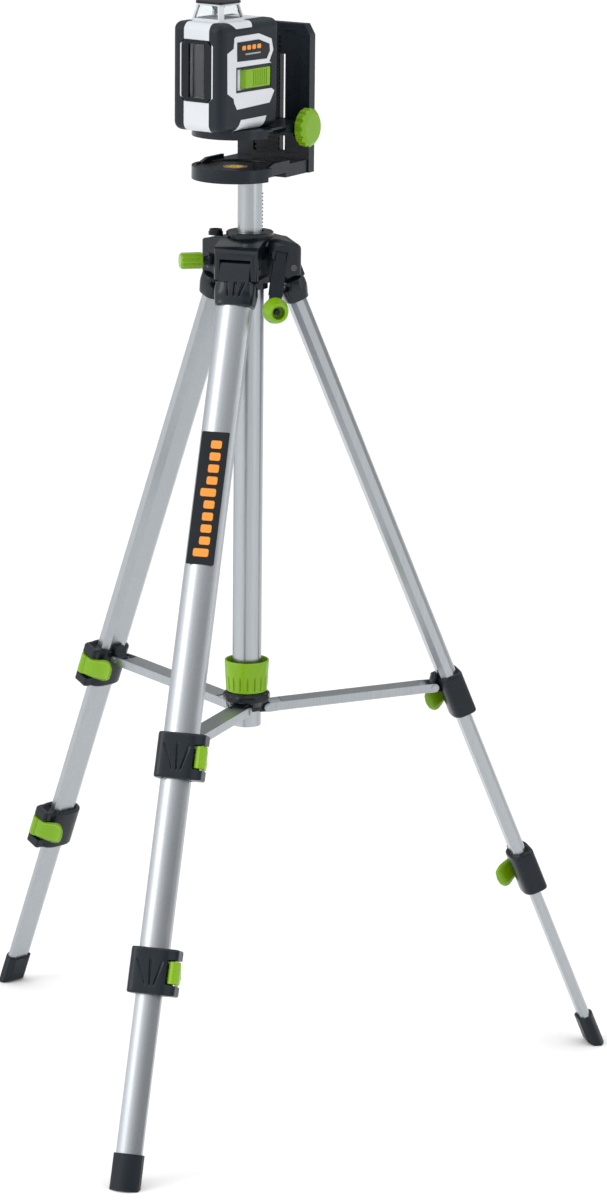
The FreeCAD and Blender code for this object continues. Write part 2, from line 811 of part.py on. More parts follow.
def make_head():
    gap = d.slide_gap
    tall = d.head_top - d.head_bottom
    core = rod(d.core_radius + 4, tall, (0, 0, d.head_bottom))
    forks = []
    slots = []
    pins = []
    for azimuth in LEG_AZIMUTHS.values():
        turn = Placement(Vector(), Rotation(Vector(0, 0, 1), azimuth))
        fork = fork_block(d.cheek_bottom, d.head_top)
        slot = box(
            d.fork_reach, d.cheek_gap, d.slot_top - d.head_bottom + 20,
            (d.core_radius + 0.5 + d.fork_reach / 2, 0, (d.slot_top + d.head_bottom - 20) / 2),
        )
        hole = rod(2.6, 80, (d.pivot_radius, -40, d.pivot_height), "+y")
        for piece, pile in ((fork, forks), (slot, slots), (hole, pins)):
            carrier = group(piece)
            doc.recompute()
            carrier.Placement = turn
            pile.append(carrier)
    lock_turn = Placement(Vector(), Rotation(Vector(0, 0, 1), LOCK_AZIMUTH))
    boss = group(rod(7.5, 17, (14, 0, d.lock_height), "+x"))
    boss.Placement = lock_turn
    lock_hole = group(rod(3.05, 60, (0, 0, d.lock_height), "+x"))
    lock_hole.Placement = lock_turn

    pinion_radius = d.rack_module * d.pinion_teeth / 2
    crank_x = d.rack_line + pinion_radius
    near = d.cheek_width / 2
    crank_boss = rod(d.boss_radius, 3.0, (crank_x, -near, d.crank_height), "-y")
    shaft_hole = rod(d.shaft_radius + 0.05, 80, (crank_x, -40, d.crank_height), "+y")
    pinion_room = rod(pinion_radius + 2.2, 9.6, (crank_x, -4.8, d.crank_height), "+y")
    crank_turn = Placement(Vector(), Rotation(Vector(0, 0, 1), CRANK_AZIMUTH))
    crank_parts = []
    for piece in (crank_boss, shaft_hole, pinion_room, rack_groove()):
        carrier = group(piece)
        doc.recompute()
        carrier.Placement = crank_turn
        crank_parts.append(carrier)

    bore = rod(d.column_radius + gap, tall + 40, (0, 0, d.head_bottom - 20))
    socket_height = d.guide_top - d.head_bottom
    socket = rod(d.guide_radius + d.fit_gap, socket_height + 5, (0, 0, d.head_bottom - 5))
    solid = fuse(core, *forks, boss, crank_parts[0])
    rough = cut(solid, *slots, *pins, lock_hole, *crank_parts[1:], bore, socket)
    finish(rough, "head_casting", column_frame())

    finish(make_head_cover(), "head_cover", column_frame())
    screws = []
    for azimuth in LEG_AZIMUTHS.values():
        for sign, along in ((-1, "+y"), (1, "-y")):
            outer = sign * d.cheek_width / 2
            shank = rod(2.55, (d.cheek_width - d.cheek_gap) / 2, (d.pivot_radius, outer, 0), along)
            head = rod(3.1, 0.8, (d.pivot_radius, outer - (0.8 if sign < 0 else -0.8), 0), along)
            screw = fuse(shank, head)
            carrier = group(screw)
            doc.recompute()
            carrier.Placement = Placement(
                Vector(0, 0, d.pivot_height.value), Rotation(Vector(0, 0, 1), azimuth)
            )
            screws.append(carrier)
    finish(group(*screws), "pivot_screws", column_frame())

    level = fuse(
        rod(7.0, 3.0, (0, 0, 0)),
        cut(rod(6.2, 2.4, (0, 0, 3.0)), rod(4.6, 1.6, (0, 0, 3.8))),
    )
    turn = math.radians(185.0)
    seat = Placement(Vector(33 * math.cos(turn), 33 * math.sin(turn), d.cover_top.value), Rotation())
    finish(level, "bubble_level", column_frame().multiply(seat))


def rack_groove():
    """Room in the column's bore for the rack's teeth, which stand proud of its corners."""
    reach = d.rack_line + 2.4
    return box(4.4, d.rack_width + 1.4, 90, (reach - 2.2, 0, d.head_top))


def make_head_cover():
    """The sloping cover over the forks, with the flange ring round the column."""
    base = d.head_top
    thick = d.cover_top - base
    plates = [cone(d.core_radius + 9, d.flange_radius, thick, (0, 0, base))]
    for azimuth in LEG_AZIMUTHS.values():
        carrier = group(fork_block(base, d.cover_top))
        doc.recompute()
        carrier.Placement = Placement(Vector(), Rotation(Vector(0, 0, 1), azimuth))
        plates.append(carrier)
    flange = turned(
        outline(
            (d.column_radius + d.slide_gap, base),
            (d.flange_radius - 1.5, base),
            (d.flange_radius - 1.5, d.flange_top - 3.0),
            (d.flange_radius, d.flange_top - 3.0),
            (d.flange_radius, d.flange_top - 0.8),
            (d.flange_radius - 1.0, d.flange_top),
            (d.column_radius + d.slide_gap, d.flange_top),
        )
    )
    bore = rod(d.column_radius + d.slide_gap, 80, (0, 0, base - 30))
    pinion_radius = d.rack_module * d.pinion_teeth / 2
    crank_x = d.rack_line + pinion_radius
    near = d.cheek_width / 2
    rooms = [
        rod(d.boss_radius + d.fit_gap, 6.0, (crank_x, 1 - near, d.crank_height), "-y"),
        rod(pinion_radius + 1.5, 9.6, (crank_x, -4.8, d.crank_height), "+y"),
        rack_groove(),
    ]
    for piece in rooms:
        carrier = group(piece)
        doc.recompute()
        carrier.Placement = Placement(Vector(), Rotation(Vector(0, 0, 1), CRANK_AZIMUTH))
        plates.append(carrier)
    return cut(fuse(*plates[: -len(rooms)], flange), bore, *plates[-len(rooms) :])


def make_column():
    guide = turned(ring_section(d.guide_bore, d.guide_radius, d.guide_bottom, d.guide_top))
    finish(guide, "guide_tube", column_frame())
    collar = turned(
        ring_section(d.guide_radius + d.fit_gap, sized(17.6), d.head_bottom - 7, d.head_bottom)
    )
    finish(collar, "guide_collar", column_frame())

    tube = turned(
        ring_section(
            d.column_radius - d.column_wall, d.column_radius, d.column_bottom, d.column_top
        )
    )
    slot = box(10, d.rack_width + 2 * d.fit_gap, 600, (d.rack_line, 0, 700))
    finish(cut(tube, slot), "column_tube", column_frame(0, CRANK_AZIMUTH))
    finish(make_rack(), "column_rack", column_frame(0, CRANK_AZIMUTH))

    plate = turned(
        outline(
            (0, d.column_top),
            (17.0, d.column_top),
            (17.0, d.arm_bottom - 0.8),
            (16.2, d.arm_bottom),
            (d.stud_thread, d.arm_bottom),
            (d.stud_thread, d.arm_bottom + 8.4),
            (d.stud_thread - 0.6, d.arm_bottom + 9.0),
            (0, d.arm_bottom + 9.0),
        )
    )
    plug = rod(d.column_radius - d.column_wall - 3.6, 12, (0, 0, d.column_top - 12))
    finish(fuse(plate, plug), "column_top_plate", column_frame())


def make_rack():
    """A straight toothed strip let into the column, its pitch line at rack_line."""
    module = d.rack_module.value
    pitch = math.pi * module
    line = d.rack_line.value
    addendum = 0.85 * module
    dedendum = 1.15 * module
    lean = math.tan(math.radians(20.0))
    half_tooth = pitch / 4 - 0.10
    low = d.column_bottom.value + 4
    high = d.column_top.value - 8
    centre = d.crank_height.value
    first = math.ceil((low - centre) / pitch + 1)
    last = math.floor((high - centre) / pitch - 1)
    root = line - dedendum
    tip = line + addendum
    points = [Vector(root - 2.2, 0, low), Vector(root, 0, low)]
    # A tooth gap of the pinion faces the rack tooth at the crank's height.
    for step in range(first, last + 1):
        middle = centre + step * pitch
        points.append(Vector(root, 0, middle - half_tooth - dedendum * lean))
        points.append(Vector(tip, 0, middle - half_tooth + addendum * lean))
        points.append(Vector(tip, 0, middle + half_tooth - addendum * lean))
        points.append(Vector(root, 0, middle + half_tooth + dedendum * lean))
    points += [Vector(root, 0, high), Vector(root - 2.2, 0, high), points[0]]
    face = Part.Face(Part.makePolygon(points))
    width = d.rack_width.value
    face.translate(Vector(0, -width / 2, 0))
    item = doc.addObject("Part::Feature", "rack")
    item.Shape = face.extrude(Vector(0, width, 0))
    return item


def pinion_shape():
    """A spur pinion about z with a tooth gap towards -x, where the rack is."""
    module = d.rack_module.value
    teeth = int(d.pinion_teeth.value)
    pitch_radius = module * teeth / 2
    pressure = math.radians(20.0)
    base = pitch_radius * math.cos(pressure)
    tip = pitch_radius + 0.85 * module
    root = pitch_radius - 1.15 * module

    def flare(radius):
        """The involute's polar angle at a radius."""
        angle = math.acos(min(1.0, base / radius))
        return math.tan(angle) - angle

    half_tooth = math.pi / (2 * teeth) - 0.10 / pitch_radius
    steps = 4
    points = []
    for tooth in range(teeth):
        middle = math.pi + (tooth + 0.5) * 2 * math.pi / teeth
        flank = [base + (tip - base) * i / steps for i in range(steps + 1)]
        sides = [(r, half_tooth + flare(pitch_radius) - flare(r)) for r in flank]
        sides.insert(0, (root, sides[0][1]))
        for radius, angle in sides:
            points.append((radius, middle - angle))
        for radius, angle in reversed(sides):
            points.append((radius, middle + angle))
    outline_points = [Vector(r * math.cos(a), r * math.sin(a), 0) for r, a in points]
    wire = Part.makePolygon(outline_points + [outline_points[0]])
    face = Part.Face(wire)
    face.translate(Vector(0, 0, -3.5))
    return face.extrude(Vector(0, 0, 7))


def make_crank():
    frame = crank_frame()
    gear = doc.addObject("Part::Feature", "pinion")
    gear.Shape = pinion_shape()
    near = d.cheek_width / 2
    hub_low = d.boss_face
    shaft = fuse(
        gear,
        rod(d.shaft_radius, near + hub_low + 14, (0, 0, -near)),
    )
    finish(shaft, "crank_shaft", frame)

    # The hub stands out past the front fork, and the arm slopes outwards to clear the front leg.
    hub_high = hub_low + d.crank_hub_length
    width = sized(13.0)
    length = d.crank_length
    slope = math.radians(d.crank_slope.value)
    stretch = 1 / math.cos(slope)
    lean = Placement(Vector(0, 0, hub_high.value - 2.6), Rotation(Vector(1, 0, 0), -d.crank_slope.value))
    plates = [
        box(width - 3.0, 16, 4.2, (0, -6.0, 0)),
        box(width, length * (0.62 * stretch), 4.2, (0, -length * (0.45 * stretch), 0)),
        box(width - 1.5, length * (0.30 * stretch), 4.2, (0, -length * (0.87 * stretch), 0.8)),
    ]
    leaning = []
    for plate in plates:
        carrier = group(plate)
        doc.recompute()
        carrier.Placement = lean
        leaning.append(carrier)
    end_low = hub_high + length * math.tan(slope) - 4.6
    notch = box(width - 1.6, 22, 12, (0, -8.0, hub_high - 1.0))
    arm = fuse(
        cut(rod(9.0, d.crank_hub_length, (0, 0, hub_low)), notch),
        *leaning,
        rod(6.0, 4.6, (0, -length, end_low)),
        rod(2.6, d.crank_knob_length, (0, -length, end_low)),
    )
    shaft_room = rod(d.shaft_radius + d.fit_gap, 19.5, (0, 0, hub_low - 5))
    arm = cut(arm, shaft_room)
    swing = Placement(Vector(), Rotation(Vector(0, 0, 1), -d.crank_angle.value))
    finish(arm, "crank_arm", frame.multiply(swing))

    low = end_low + 6.2
    knob = turned(
        outline(
            (2.7, low),
            (d.crank_knob_radius - 1.5, low),
            (d.crank_knob_radius, low + 1.5),
            (d.crank_knob_radius, low + 5),
            (d.crank_knob_radius - 3.2, low + d.crank_knob_length - 1),
            (d.crank_knob_radius - 4.2, low + d.crank_knob_length),
            (6.2, low + d.crank_knob_length),
            (5.8, low + 9),
            (2.7, low + 9),
        )
    )
    end = Placement(Vector(0, -d.crank_length.value, 0), Rotation())
    finish(knob, "crank_knob", frame.multiply(swing).multiply(end))


def make_lock_knob():
    """The column lock: a screw through the head with a fluted knob."""
    start = d.lock_knob_start
    reach = d.lock_knob_length
    body = new_body()
    section = outline(
        (0, start), (d.lock_knob_radius - 0.8, start), (d.lock_knob_radius, start + 0.8),
        (d.lock_knob_radius, start + reach - 2.0), (d.lock_knob_radius - 1.6, start + reach),
        (0, start + reach),
    )
    revolve(body, sketch(body, "XZ_Plane", section))
    flute = round_corner(d.lock_knob_radius + 0.6, 0, 1.5)
    groove = pocket(body, sketch(body, "XY_Plane", flute, height=start + reach + 1), reach - 1)
    repeat_round(body, groove, 10)
    tip = d.column_radius + 0.35
    stem = rod(3.0, start - tip + 4, (0, 0, tip))
    lay = Rotation(Vector(0, 1, 0), 90)
    base = Placement(Vector(0, 0, d.lock_height.value), lay)
    finish(fuse(body, stem), "lock_knob", column_frame(0, LOCK_AZIMUTH).multiply(base))


# ---------------------------------------------------------------- bracket


def arm_plan(half_width, back, grow=0.0):
    """An arm from the back plate that ends in a round disc under the laser."""
    centre = d.disc_reach
    radius = d.disc_radius + grow
    return [
        Corner(back, -half_width),
        Corner(centre, -half_width),
        Corner(centre, -radius, centre=(centre, 0)),
        Corner(centre, radius),
        Corner(centre, half_width),
        Corner(back, half_width),
    ]


def make_bracket():
    frame = bracket_frame()
    body = new_body()
    half = d.plate_width / 2
    back = -d.plate_front - d.plate_thickness
    front = -d.plate_front
    tall = d.plate_height
    slant = sized(10.0)
    plate = outline(
        (-half, 0), (half, 0), (half, tall - slant), (half - slant * 0.6, tall),
        (-half + slant * 0.6, tall), (-half, tall - slant),
    )
    pad(body, sketch(body, "YZ_Plane", plate, height=back), d.plate_thickness)
    low = d.recess_low
    high = tall - d.plate_rim
    recess = outline(
        (-22, low), (29, low), (29, high - 8), (24, high), (-17, high), (-22, high - 8)
    )
    pocket(body, sketch(body, "YZ_Plane", recess, height=front), d.recess_depth)
    slot = outline(
        (d.slot_low, low + 1), (d.slot_high, low + 1), (d.slot_high, 110), (d.slot_low, 110)
    )
    pocket(body, sketch(body, "YZ_Plane", slot, height=front), d.plate_thickness + 2)
    arm = new_body()
    pad(arm, sketch(arm, "XY_Plane", arm_plan(half - 1.5, front)), d.arm_thickness)
    dish = round_corner(d.disc_reach, 0, d.disc_radius - 4.5)
    pocket(arm, sketch(arm, "XY_Plane", dish, height=d.arm_thickness), 1.6)
    rail_low = -21.0
    rail_width = d.slot_low - rail_low - 0.8
    rail_middle = rail_low + rail_width / 2
    bed = front - d.recess_depth
    ribs = [
        box(2.2, rail_width, 2.2, (bed + 1.0, rail_middle, low + 3.0 + 4.4 * step))
        for step in range(25)
    ]
    strip = box(1.8, 3.5, 79, (bed + 0.8, 26.2, low + 1.5 + 39.5))
    lips = []
    for side in (-1, 1):
        lip = new_body()
        profile = outline((-9, 11), (30, 11), (30, d.arm_thickness), (20, 16), (-9, 16))
        middle = side * (half - 1.5 - 1.75)
        pad(lip, sketch(lip, "XZ_Plane", profile, height=-middle), 3.5, both_sides=True)
        lips.append(lip)
    insert_hole = rod(d.insert_radius + d.fit_gap, 40, (d.disc_reach, 0, -10))
    stud_hole = rod(d.stud_thread + d.fit_gap, 10, (0, 0, -1))
    shallow = [box(35, 16, 9.4, (15.5, side * 34, 0)) for side in (-1, 1)]
    finish(fuse(body, strip, *ribs), "bracket_plate", frame)
    solid = cut(fuse(arm, *lips), insert_hole, stud_hole, *shallow)
    finish(solid, "bracket_arm", frame)

    insert = cut(
        rod(d.insert_radius, d.insert_height, (d.disc_reach, 0, 0)),
        rod(d.insert_thread, 40, (d.disc_reach, 0, -10)),
    )
    finish(insert, "brass_insert", frame)


def make_platform():
    frame = bracket_frame()
    low = d.platform_bottom - d.arm_bottom
    front = -d.plate_front
    half = d.platform_width / 2
    body = new_body()
    plan = arm_plan(half, front + 1.0)
    pad(body, sketch(body, "XY_Plane", plan, height=low), d.platform_thickness)
    carriage = box(
        12, 60, d.carriage_height, (front + 7.0, 0, low + d.platform_thickness - d.carriage_height / 2)
    )
    key_width = d.slot_high - d.slot_low - 2 * d.slide_gap
    key = box(8.6, key_width, 8, (front - 3.0, (d.slot_high + d.slot_low) / 2, low + 4.2))
    screw_room = rod(8.2, 4.2, (d.disc_reach, 0, low - 1))
    screw_hole = rod(3.4, 30, (d.disc_reach, 0, low - 5))
    stem_hole = rod(3.05, 40, (-30, 14, low + 3.8), "+y")
    shallow = [box(37, 12, 12.6, (16.5, side * 35, low)) for side in (-1, 1)]
    solid = fuse(cut(body, *shallow), carriage, key)
    solid = cut(solid, screw_room, screw_hole, stem_hole)
    finish(solid, "platform", frame)

    dial = new_body()
    radius = d.dial_radius
    thick = d.dial_thickness
    section = outline(
        (0, 0), (radius - 0.8, 0), (radius, 0.8), (radius, thick - 3.5),
        (radius - 3.4, thick - 0.6), (radius - 5.0, thick), (0, thick),
    )
    revolve(dial, sketch(dial, "XZ_Plane", section))
    scallop = round_corner(radius + 1.6, 0, 3.0)
    groove = pocket(dial, sketch(dial, "XY_Plane", scallop, height=thick + 1), thick + 3)
    repeat_round(dial, groove, 14)
    stem = rod(3.0, 23, (0, 0, -22))
    lay = Rotation(Vector(0, 0, 1), Vector(0, 1, 0))
    spot = Placement(Vector(-30, half.value + 2.4, low.value + 3.8), lay)
    finish(fuse(dial, stem), "platform_knob", frame.multiply(spot))

    screw = fuse(
        rod(8.0, 2.8, (0, 0, -d.platform_thickness + 0.2)),
        rod(d.stud_thread, 14, (0, 0, -d.platform_thickness + 1)),
    )
    finish(screw, "laser_screw", laser_frame())


# ---------------------------------------------------------------- laser


def soft_block(x, y, z, middle, radius):
    """A block with every edge rounded."""
    return rounded(box(x, y, z, middle), radius, lambda edge: True)


def main_panel():
    """The large panel on the laser's long side, in x and height, with a bay for the switch."""
    return outline(
        (-14, 23), (36, 21), (40.5, 28), (41, 31.5), (50.5, 37), (51, 74), (41.5, 78), (40.5, 87.5),
        (38, 88.7), (3.5, 89), (-16, 82.5), (-19, 72), (-13, 61.5), (-16.5, 60),
        (37.3, 60), (37.3, 36.5), (-16.5, 36.5), (-21, 33.6),
    )


def plain_panel():
    """The same panel without the bay, for the far side."""
    return outline(
        (-14, 23), (36, 21), (40.5, 28), (41, 31.5), (50.5, 37), (51, 74), (41.5, 78), (40.5, 87.5),
        (38, 88.7), (3.5, 89), (-16, 82.5), (-19, 72), (-13, 61.5), (-13, 44), (-21, 33.6),
    )


def top_notch():
    top = 0.2 + d.laser_height
    return outline((37.6, top - 5.7), (46, top + 3), (9, top + 3), (13.5, top - 5.7))


def bottom_notch():
    return outline((38, -3), (30, 11), (-9, 11.6), (-3, -3))


def panel_prism(corners, y_low, thickness):
    body = new_body()
    # The XZ plane's normal is -y, so a sketch at -y_low padded backwards grows along +y.
    profile = sketch(body, "XZ_Plane", corners, height=-y_low)
    pad(body, profile, thickness, backwards=True)
    return body


def octagon(half_width, low, high, nick):
    """A tall outline with bevelled corners, in y and height."""
    return outline(
        (-half_width + nick, low), (half_width - nick, low), (half_width, low + nick),
        (half_width, high - nick), (half_width - nick, high), (-half_width + nick, high),
        (-half_width, high - nick), (-half_width, low + nick),
    )


def face_prism(corners, x_low, thickness):
    body = new_body()
    pad(body, sketch(body, "YZ_Plane", corners, height=x_low), thickness)
    return body


def make_laser():
    frame = laser_frame()
    lead = d.laser_lead
    base = sized(0.2)
    length = d.laser_length
    width = d.laser_width
    tall = d.laser_height
    middle = (lead, 0, base + tall / 2)
    half = width / 2
    face = lead + length / 2
    window = base + d.window_middle
    skin = sized(1.5)

    # The housing: a rounded case, with raised panels that stand in the bumper's openings.
    core = soft_block(length - 2 * skin, width - 2 * skin, tall - 2 * skin, middle, 6.5)
    shell = soft_block(length, width, tall, middle, d.laser_round)
    belt = box(length + 40, d.band_width, tall + 40, middle)
    surround_half = d.bezel_width / 2 + d.surround
    surround_low = window - d.bezel_height / 2 - d.surround
    surround_high = window + d.bezel_height / 2 + d.surround
    surround = octagon(surround_half, surround_low, surround_high, 6.5)
    raised = [
        panel_prism(main_panel(), half - 5, 9),
        panel_prism(plain_panel(), -half - 4, 9),
        panel_prism(top_notch(), -half - 4, width + 8),
        panel_prism(bottom_notch(), -half - 4, width + 8),
        face_prism(surround, face - 5, 9),
        belt,
    ]
    cavity = box(length - 14, width - 12, tall - 22, middle)
    window_hole = box(14, d.window_width, d.window_height, (face - 4, 0, window))
    turret_hole = box(24, 24, 20, (d.turret_lead, 0, base + tall - 5))
    thread = rod(3.4, 16, (0, 0, -2))
    floor = rod(9.0, 12, (0, 0, base + 1.5))
    bay = box(51, 6, 19.5, (10, half - 1.0, base + 48))
    bed = box(7, d.bezel_width, d.bezel_height, (face + 0.1, 0, window))
    solid = fuse(cut(fuse(core, common(shell, fuse(*raised))), cavity), floor)
    backing = box(56, 3.0, 25, (10, half - 5.6, base + 48))
    solid = cut(fuse(solid, backing), window_hole, turret_hole, thread, bay, bed)
    finish(solid, "laser_housing", frame)

    # The bumper: the outer skin without the band, the window surround and the panels.
    openings = [
        belt,
        panel_prism(main_panel(), half - 5, 9),
        panel_prism(plain_panel(), -half - 4, 9),
        panel_prism(top_notch(), -half - 4, width + 8),
        panel_prism(bottom_notch(), -half - 4, width + 8),
        face_prism(surround, face - 12, 20),
        box(51, 20, 19.5, (10, half, base + 48)),
    ]
    finish(cut(shell, core, *openings), "laser_bumper", frame)

    bezel = new_body()
    low = window - d.bezel_height / 2
    high = window + d.bezel_height / 2
    rim = octagon(d.bezel_width / 2 - 0.05, low + 0.05, high - 0.05, 5.5)
    pad(bezel, sketch(bezel, "YZ_Plane", rim, height=face - 3.3), 3.8)
    pane = d.window_width / 2
    pane_low = window - d.window_height / 2
    pane_high = window + d.window_height / 2
    opening = outline((-pane, pane_low), (pane, pane_low), (pane, pane_high), (-pane, pane_high))
    pocket(bezel, sketch(bezel, "YZ_Plane", opening, height=face + 5), 12)
    finish(bezel, "window_bezel", frame)
    glass = box(1.6, d.window_width - 0.1, d.window_height - 0.1, (face - 4.6, 0, window))
    finish(group(glass), "laser_window", frame)

    make_turret(frame, base + tall)
    make_switch(frame, half, base)

    bob = fuse(
        rod(2.0, 34, (0, 0, -34)),
        rod(11.0, 14, (0, 0, -46)),
        box(16, 16, 10, (0, 0, -6)),
        rod(2.4, 20, (0, -10, 0), "+y"),
    )
    hang = Placement(Vector((lead + 12).value, 0, (base + 78).value), Rotation())
    finish(bob, "pendulum", frame.multiply(hang))
    pack = rounded(box(12.4, 40, 62, (lead - 30.9, 0, base + 11.02 + 31)), 3.0, upright)
    finish(pack, "battery_pack", frame)


def make_switch(frame, half, base):
    """The transport lock: a ribbed slider in the side's bay."""
    slider = new_body()
    floor = half - 3.9
    low = base + 39.4
    body = [(-15.3, floor), (26.5, floor), (23, floor + 4.2), (-13.5, floor + 4.2), (-15.3, floor + 3)]
    pad(slider, sketch(slider, "XY_Plane", outline(*body), height=low), 17.2)
    for step in range(7):
        x = -8.5 + 3.2 * step
        gap = outline((x, floor + 3.4), (x + 1.1, floor + 3.4), (x + 1.1, floor + 7), (x, floor + 7))
        profile = sketch(slider, "XY_Plane", gap, height=low + 16)
        pocket(slider, profile, 14.8)
    finish(slider, "laser_switch", frame)


def make_turret(frame, base):
    """The square turret that lets the level line out: a frame, clear panes and a cap."""
    lead = d.turret_lead
    low = d.turret_base / 2
    high = d.turret_top / 2
    tall = d.turret_height
    wall = sized(2.0)
    pane = sized(1.4)

    def sloping(outer_low, outer_high, depth, bottom, height):
        """A tapering square shell of the given wall."""
        body = new_body()
        for kind, inset in (("PartDesign::AdditiveLoft", 0), ("PartDesign::SubtractiveLoft", depth)):
            foot = sketch(body, "XY_Plane", square(lead, outer_low - inset), height=bottom)
            head = sketch(body, "XY_Plane", square(lead, outer_high - inset), height=bottom + height)
            loft = body.newObject(kind, "sloping")
            loft.Profile = foot
            loft.Sections = [head]
        return body

    shell = sloping(low, high, wall, base, tall)
    side_hole = sloped_window(low, high, base, tall)
    finish(cut(shell, side_hole), "turret_frame", frame)
    panes = sloping(low - wall - 0.02, high - wall - 0.02, pane, base, tall)
    finish(panes, "turret_glass", frame)
    top = base + tall
    cap = new_body()
    pad(cap, sketch(cap, "XY_Plane", square(lead, d.cap_width / 2), height=top), d.cap_thickness)
    mirror = cone(2.0, 8.0, 10.0, (lead, 0, top - 10.0))
    finish(fuse(cap, mirror), "turret_cap", frame)


def sloped_window(low, high, base, tall):
    """Prisms through all four sides that leave corner posts and two rings."""
    lead = d.turret_lead
    post = sized(4.2)
    bottom = base + 2.4
    top = base + tall - 1.6
    slant = (low - high) / tall
    wide_low = low - post - 2.4 * slant
    wide_high = high - post + 1.6 * slant
    across_y = outline((-wide_low, bottom), (wide_low, bottom), (wide_high, top), (-wide_high, top))
    across_x = outline(
        (lead - wide_low, bottom), (lead + wide_low, bottom),
        (lead + wide_high, top), (lead - wide_high, top),
    )
    through_x = new_body()
    pad(through_x, sketch(through_x, "YZ_Plane", across_y, height=lead), 90, both_sides=True)
    through_y = new_body()
    pad(through_y, sketch(through_y, "XZ_Plane", across_x), 90, both_sides=True)
    return fuse(through_x, through_y)


def square(x, half):
    nick = half * 0.16
    return outline(
        (x - half + nick, -half), (x + half - nick, -half), (x + half, -half + nick),
        (x + half, half - nick), (x + half - nick, half), (x - half + nick, half),
        (x - half, half - nick), (x - half, -half + nick),
    )


# ---------------------------------------------------------------- build and write


def check_document():
    """Stops on a failed feature, an empty or invalid sub-part, or a cut that removes nothing."""
    doc.recompute()
    for item in doc.Objects:
        if {"Invalid", "Error"} & set(item.State):
            raise RuntimeError(f"{item.Label} failed: {item.State}")
        if item.TypeId == "PartDesign::Pocket":
            removed = item.BaseFeature.Shape.Volume - item.Shape.Volume
            if removed < 0.5:
                raise RuntimeError(f"{item.Label} of {item.getParentGeoFeatureGroup().Label} is idle")
    for item in sub_parts:
        if item.Shape.isNull() or not item.Shape.isValid():
            raise RuntimeError(f"{item.Label} has no valid shape")


make_legs()
make_spreader()
make_head()
make_column()
make_crank()
make_lock_knob()
make_bracket()
make_platform()
make_laser()
check_document()

os.makedirs("parts", exist_ok=True)
for sub_part in sub_parts:
    sub_part.Shape.exportStep(f"parts/{sub_part.Label}.step")
whole = Part.makeCompound([sub_part.Shape for sub_part in sub_parts]).BoundBox
print(len(sub_parts), "sub-parts")
print("x", whole.XMin, whole.XMax, "y", whole.YMin, whole.YMax, "z", whole.ZMin, whole.ZMax)
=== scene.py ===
import json
import math

import bmesh
import bpy
from mathutils import Matrix, Vector


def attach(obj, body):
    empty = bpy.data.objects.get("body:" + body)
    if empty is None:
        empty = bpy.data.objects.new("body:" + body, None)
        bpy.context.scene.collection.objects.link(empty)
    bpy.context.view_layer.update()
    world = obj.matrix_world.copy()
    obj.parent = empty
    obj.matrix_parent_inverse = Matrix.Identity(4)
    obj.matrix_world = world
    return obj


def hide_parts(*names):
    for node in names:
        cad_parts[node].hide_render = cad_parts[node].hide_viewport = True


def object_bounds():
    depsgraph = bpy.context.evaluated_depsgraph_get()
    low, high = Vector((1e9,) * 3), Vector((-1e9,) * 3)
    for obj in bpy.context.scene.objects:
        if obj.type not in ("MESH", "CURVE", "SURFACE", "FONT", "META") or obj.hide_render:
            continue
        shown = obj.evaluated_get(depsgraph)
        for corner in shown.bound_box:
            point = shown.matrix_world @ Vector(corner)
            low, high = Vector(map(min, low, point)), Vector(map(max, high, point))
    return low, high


# A line laser on a bracket and crank-column tripod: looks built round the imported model.
# Objects are in metres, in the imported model's frame. New shapes are written in millimetres.

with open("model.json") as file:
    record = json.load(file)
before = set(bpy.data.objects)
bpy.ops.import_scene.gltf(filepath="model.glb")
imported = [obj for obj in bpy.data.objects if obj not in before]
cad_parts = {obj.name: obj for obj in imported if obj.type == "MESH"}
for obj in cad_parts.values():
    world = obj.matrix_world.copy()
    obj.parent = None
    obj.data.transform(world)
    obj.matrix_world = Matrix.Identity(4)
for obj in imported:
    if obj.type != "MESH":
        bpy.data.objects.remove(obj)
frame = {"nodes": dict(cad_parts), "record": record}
cad_low, cad_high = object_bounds()
NODES = frame["nodes"]

BODY_OF = {
    node: body
    for body, nodes in frame["record"]["behaviour"]["bodies"].items()
    for node in nodes
}


# ---------------------------------------------------------------- materials

# Noise scales, in cycles per metre.
COLOUR_DRIFT, GLOSS_PATCHES, TUBE_GLOSS_PATCHES = 9, 60, 25
MOULD_GRAIN, RUBBER_GRAIN = 2200, 1500
DRAWING_LINES = (900, 900, 14)
TURNING_RINGS, RING_GLOSS, WINDOW_HAZE = 700, 90, 50


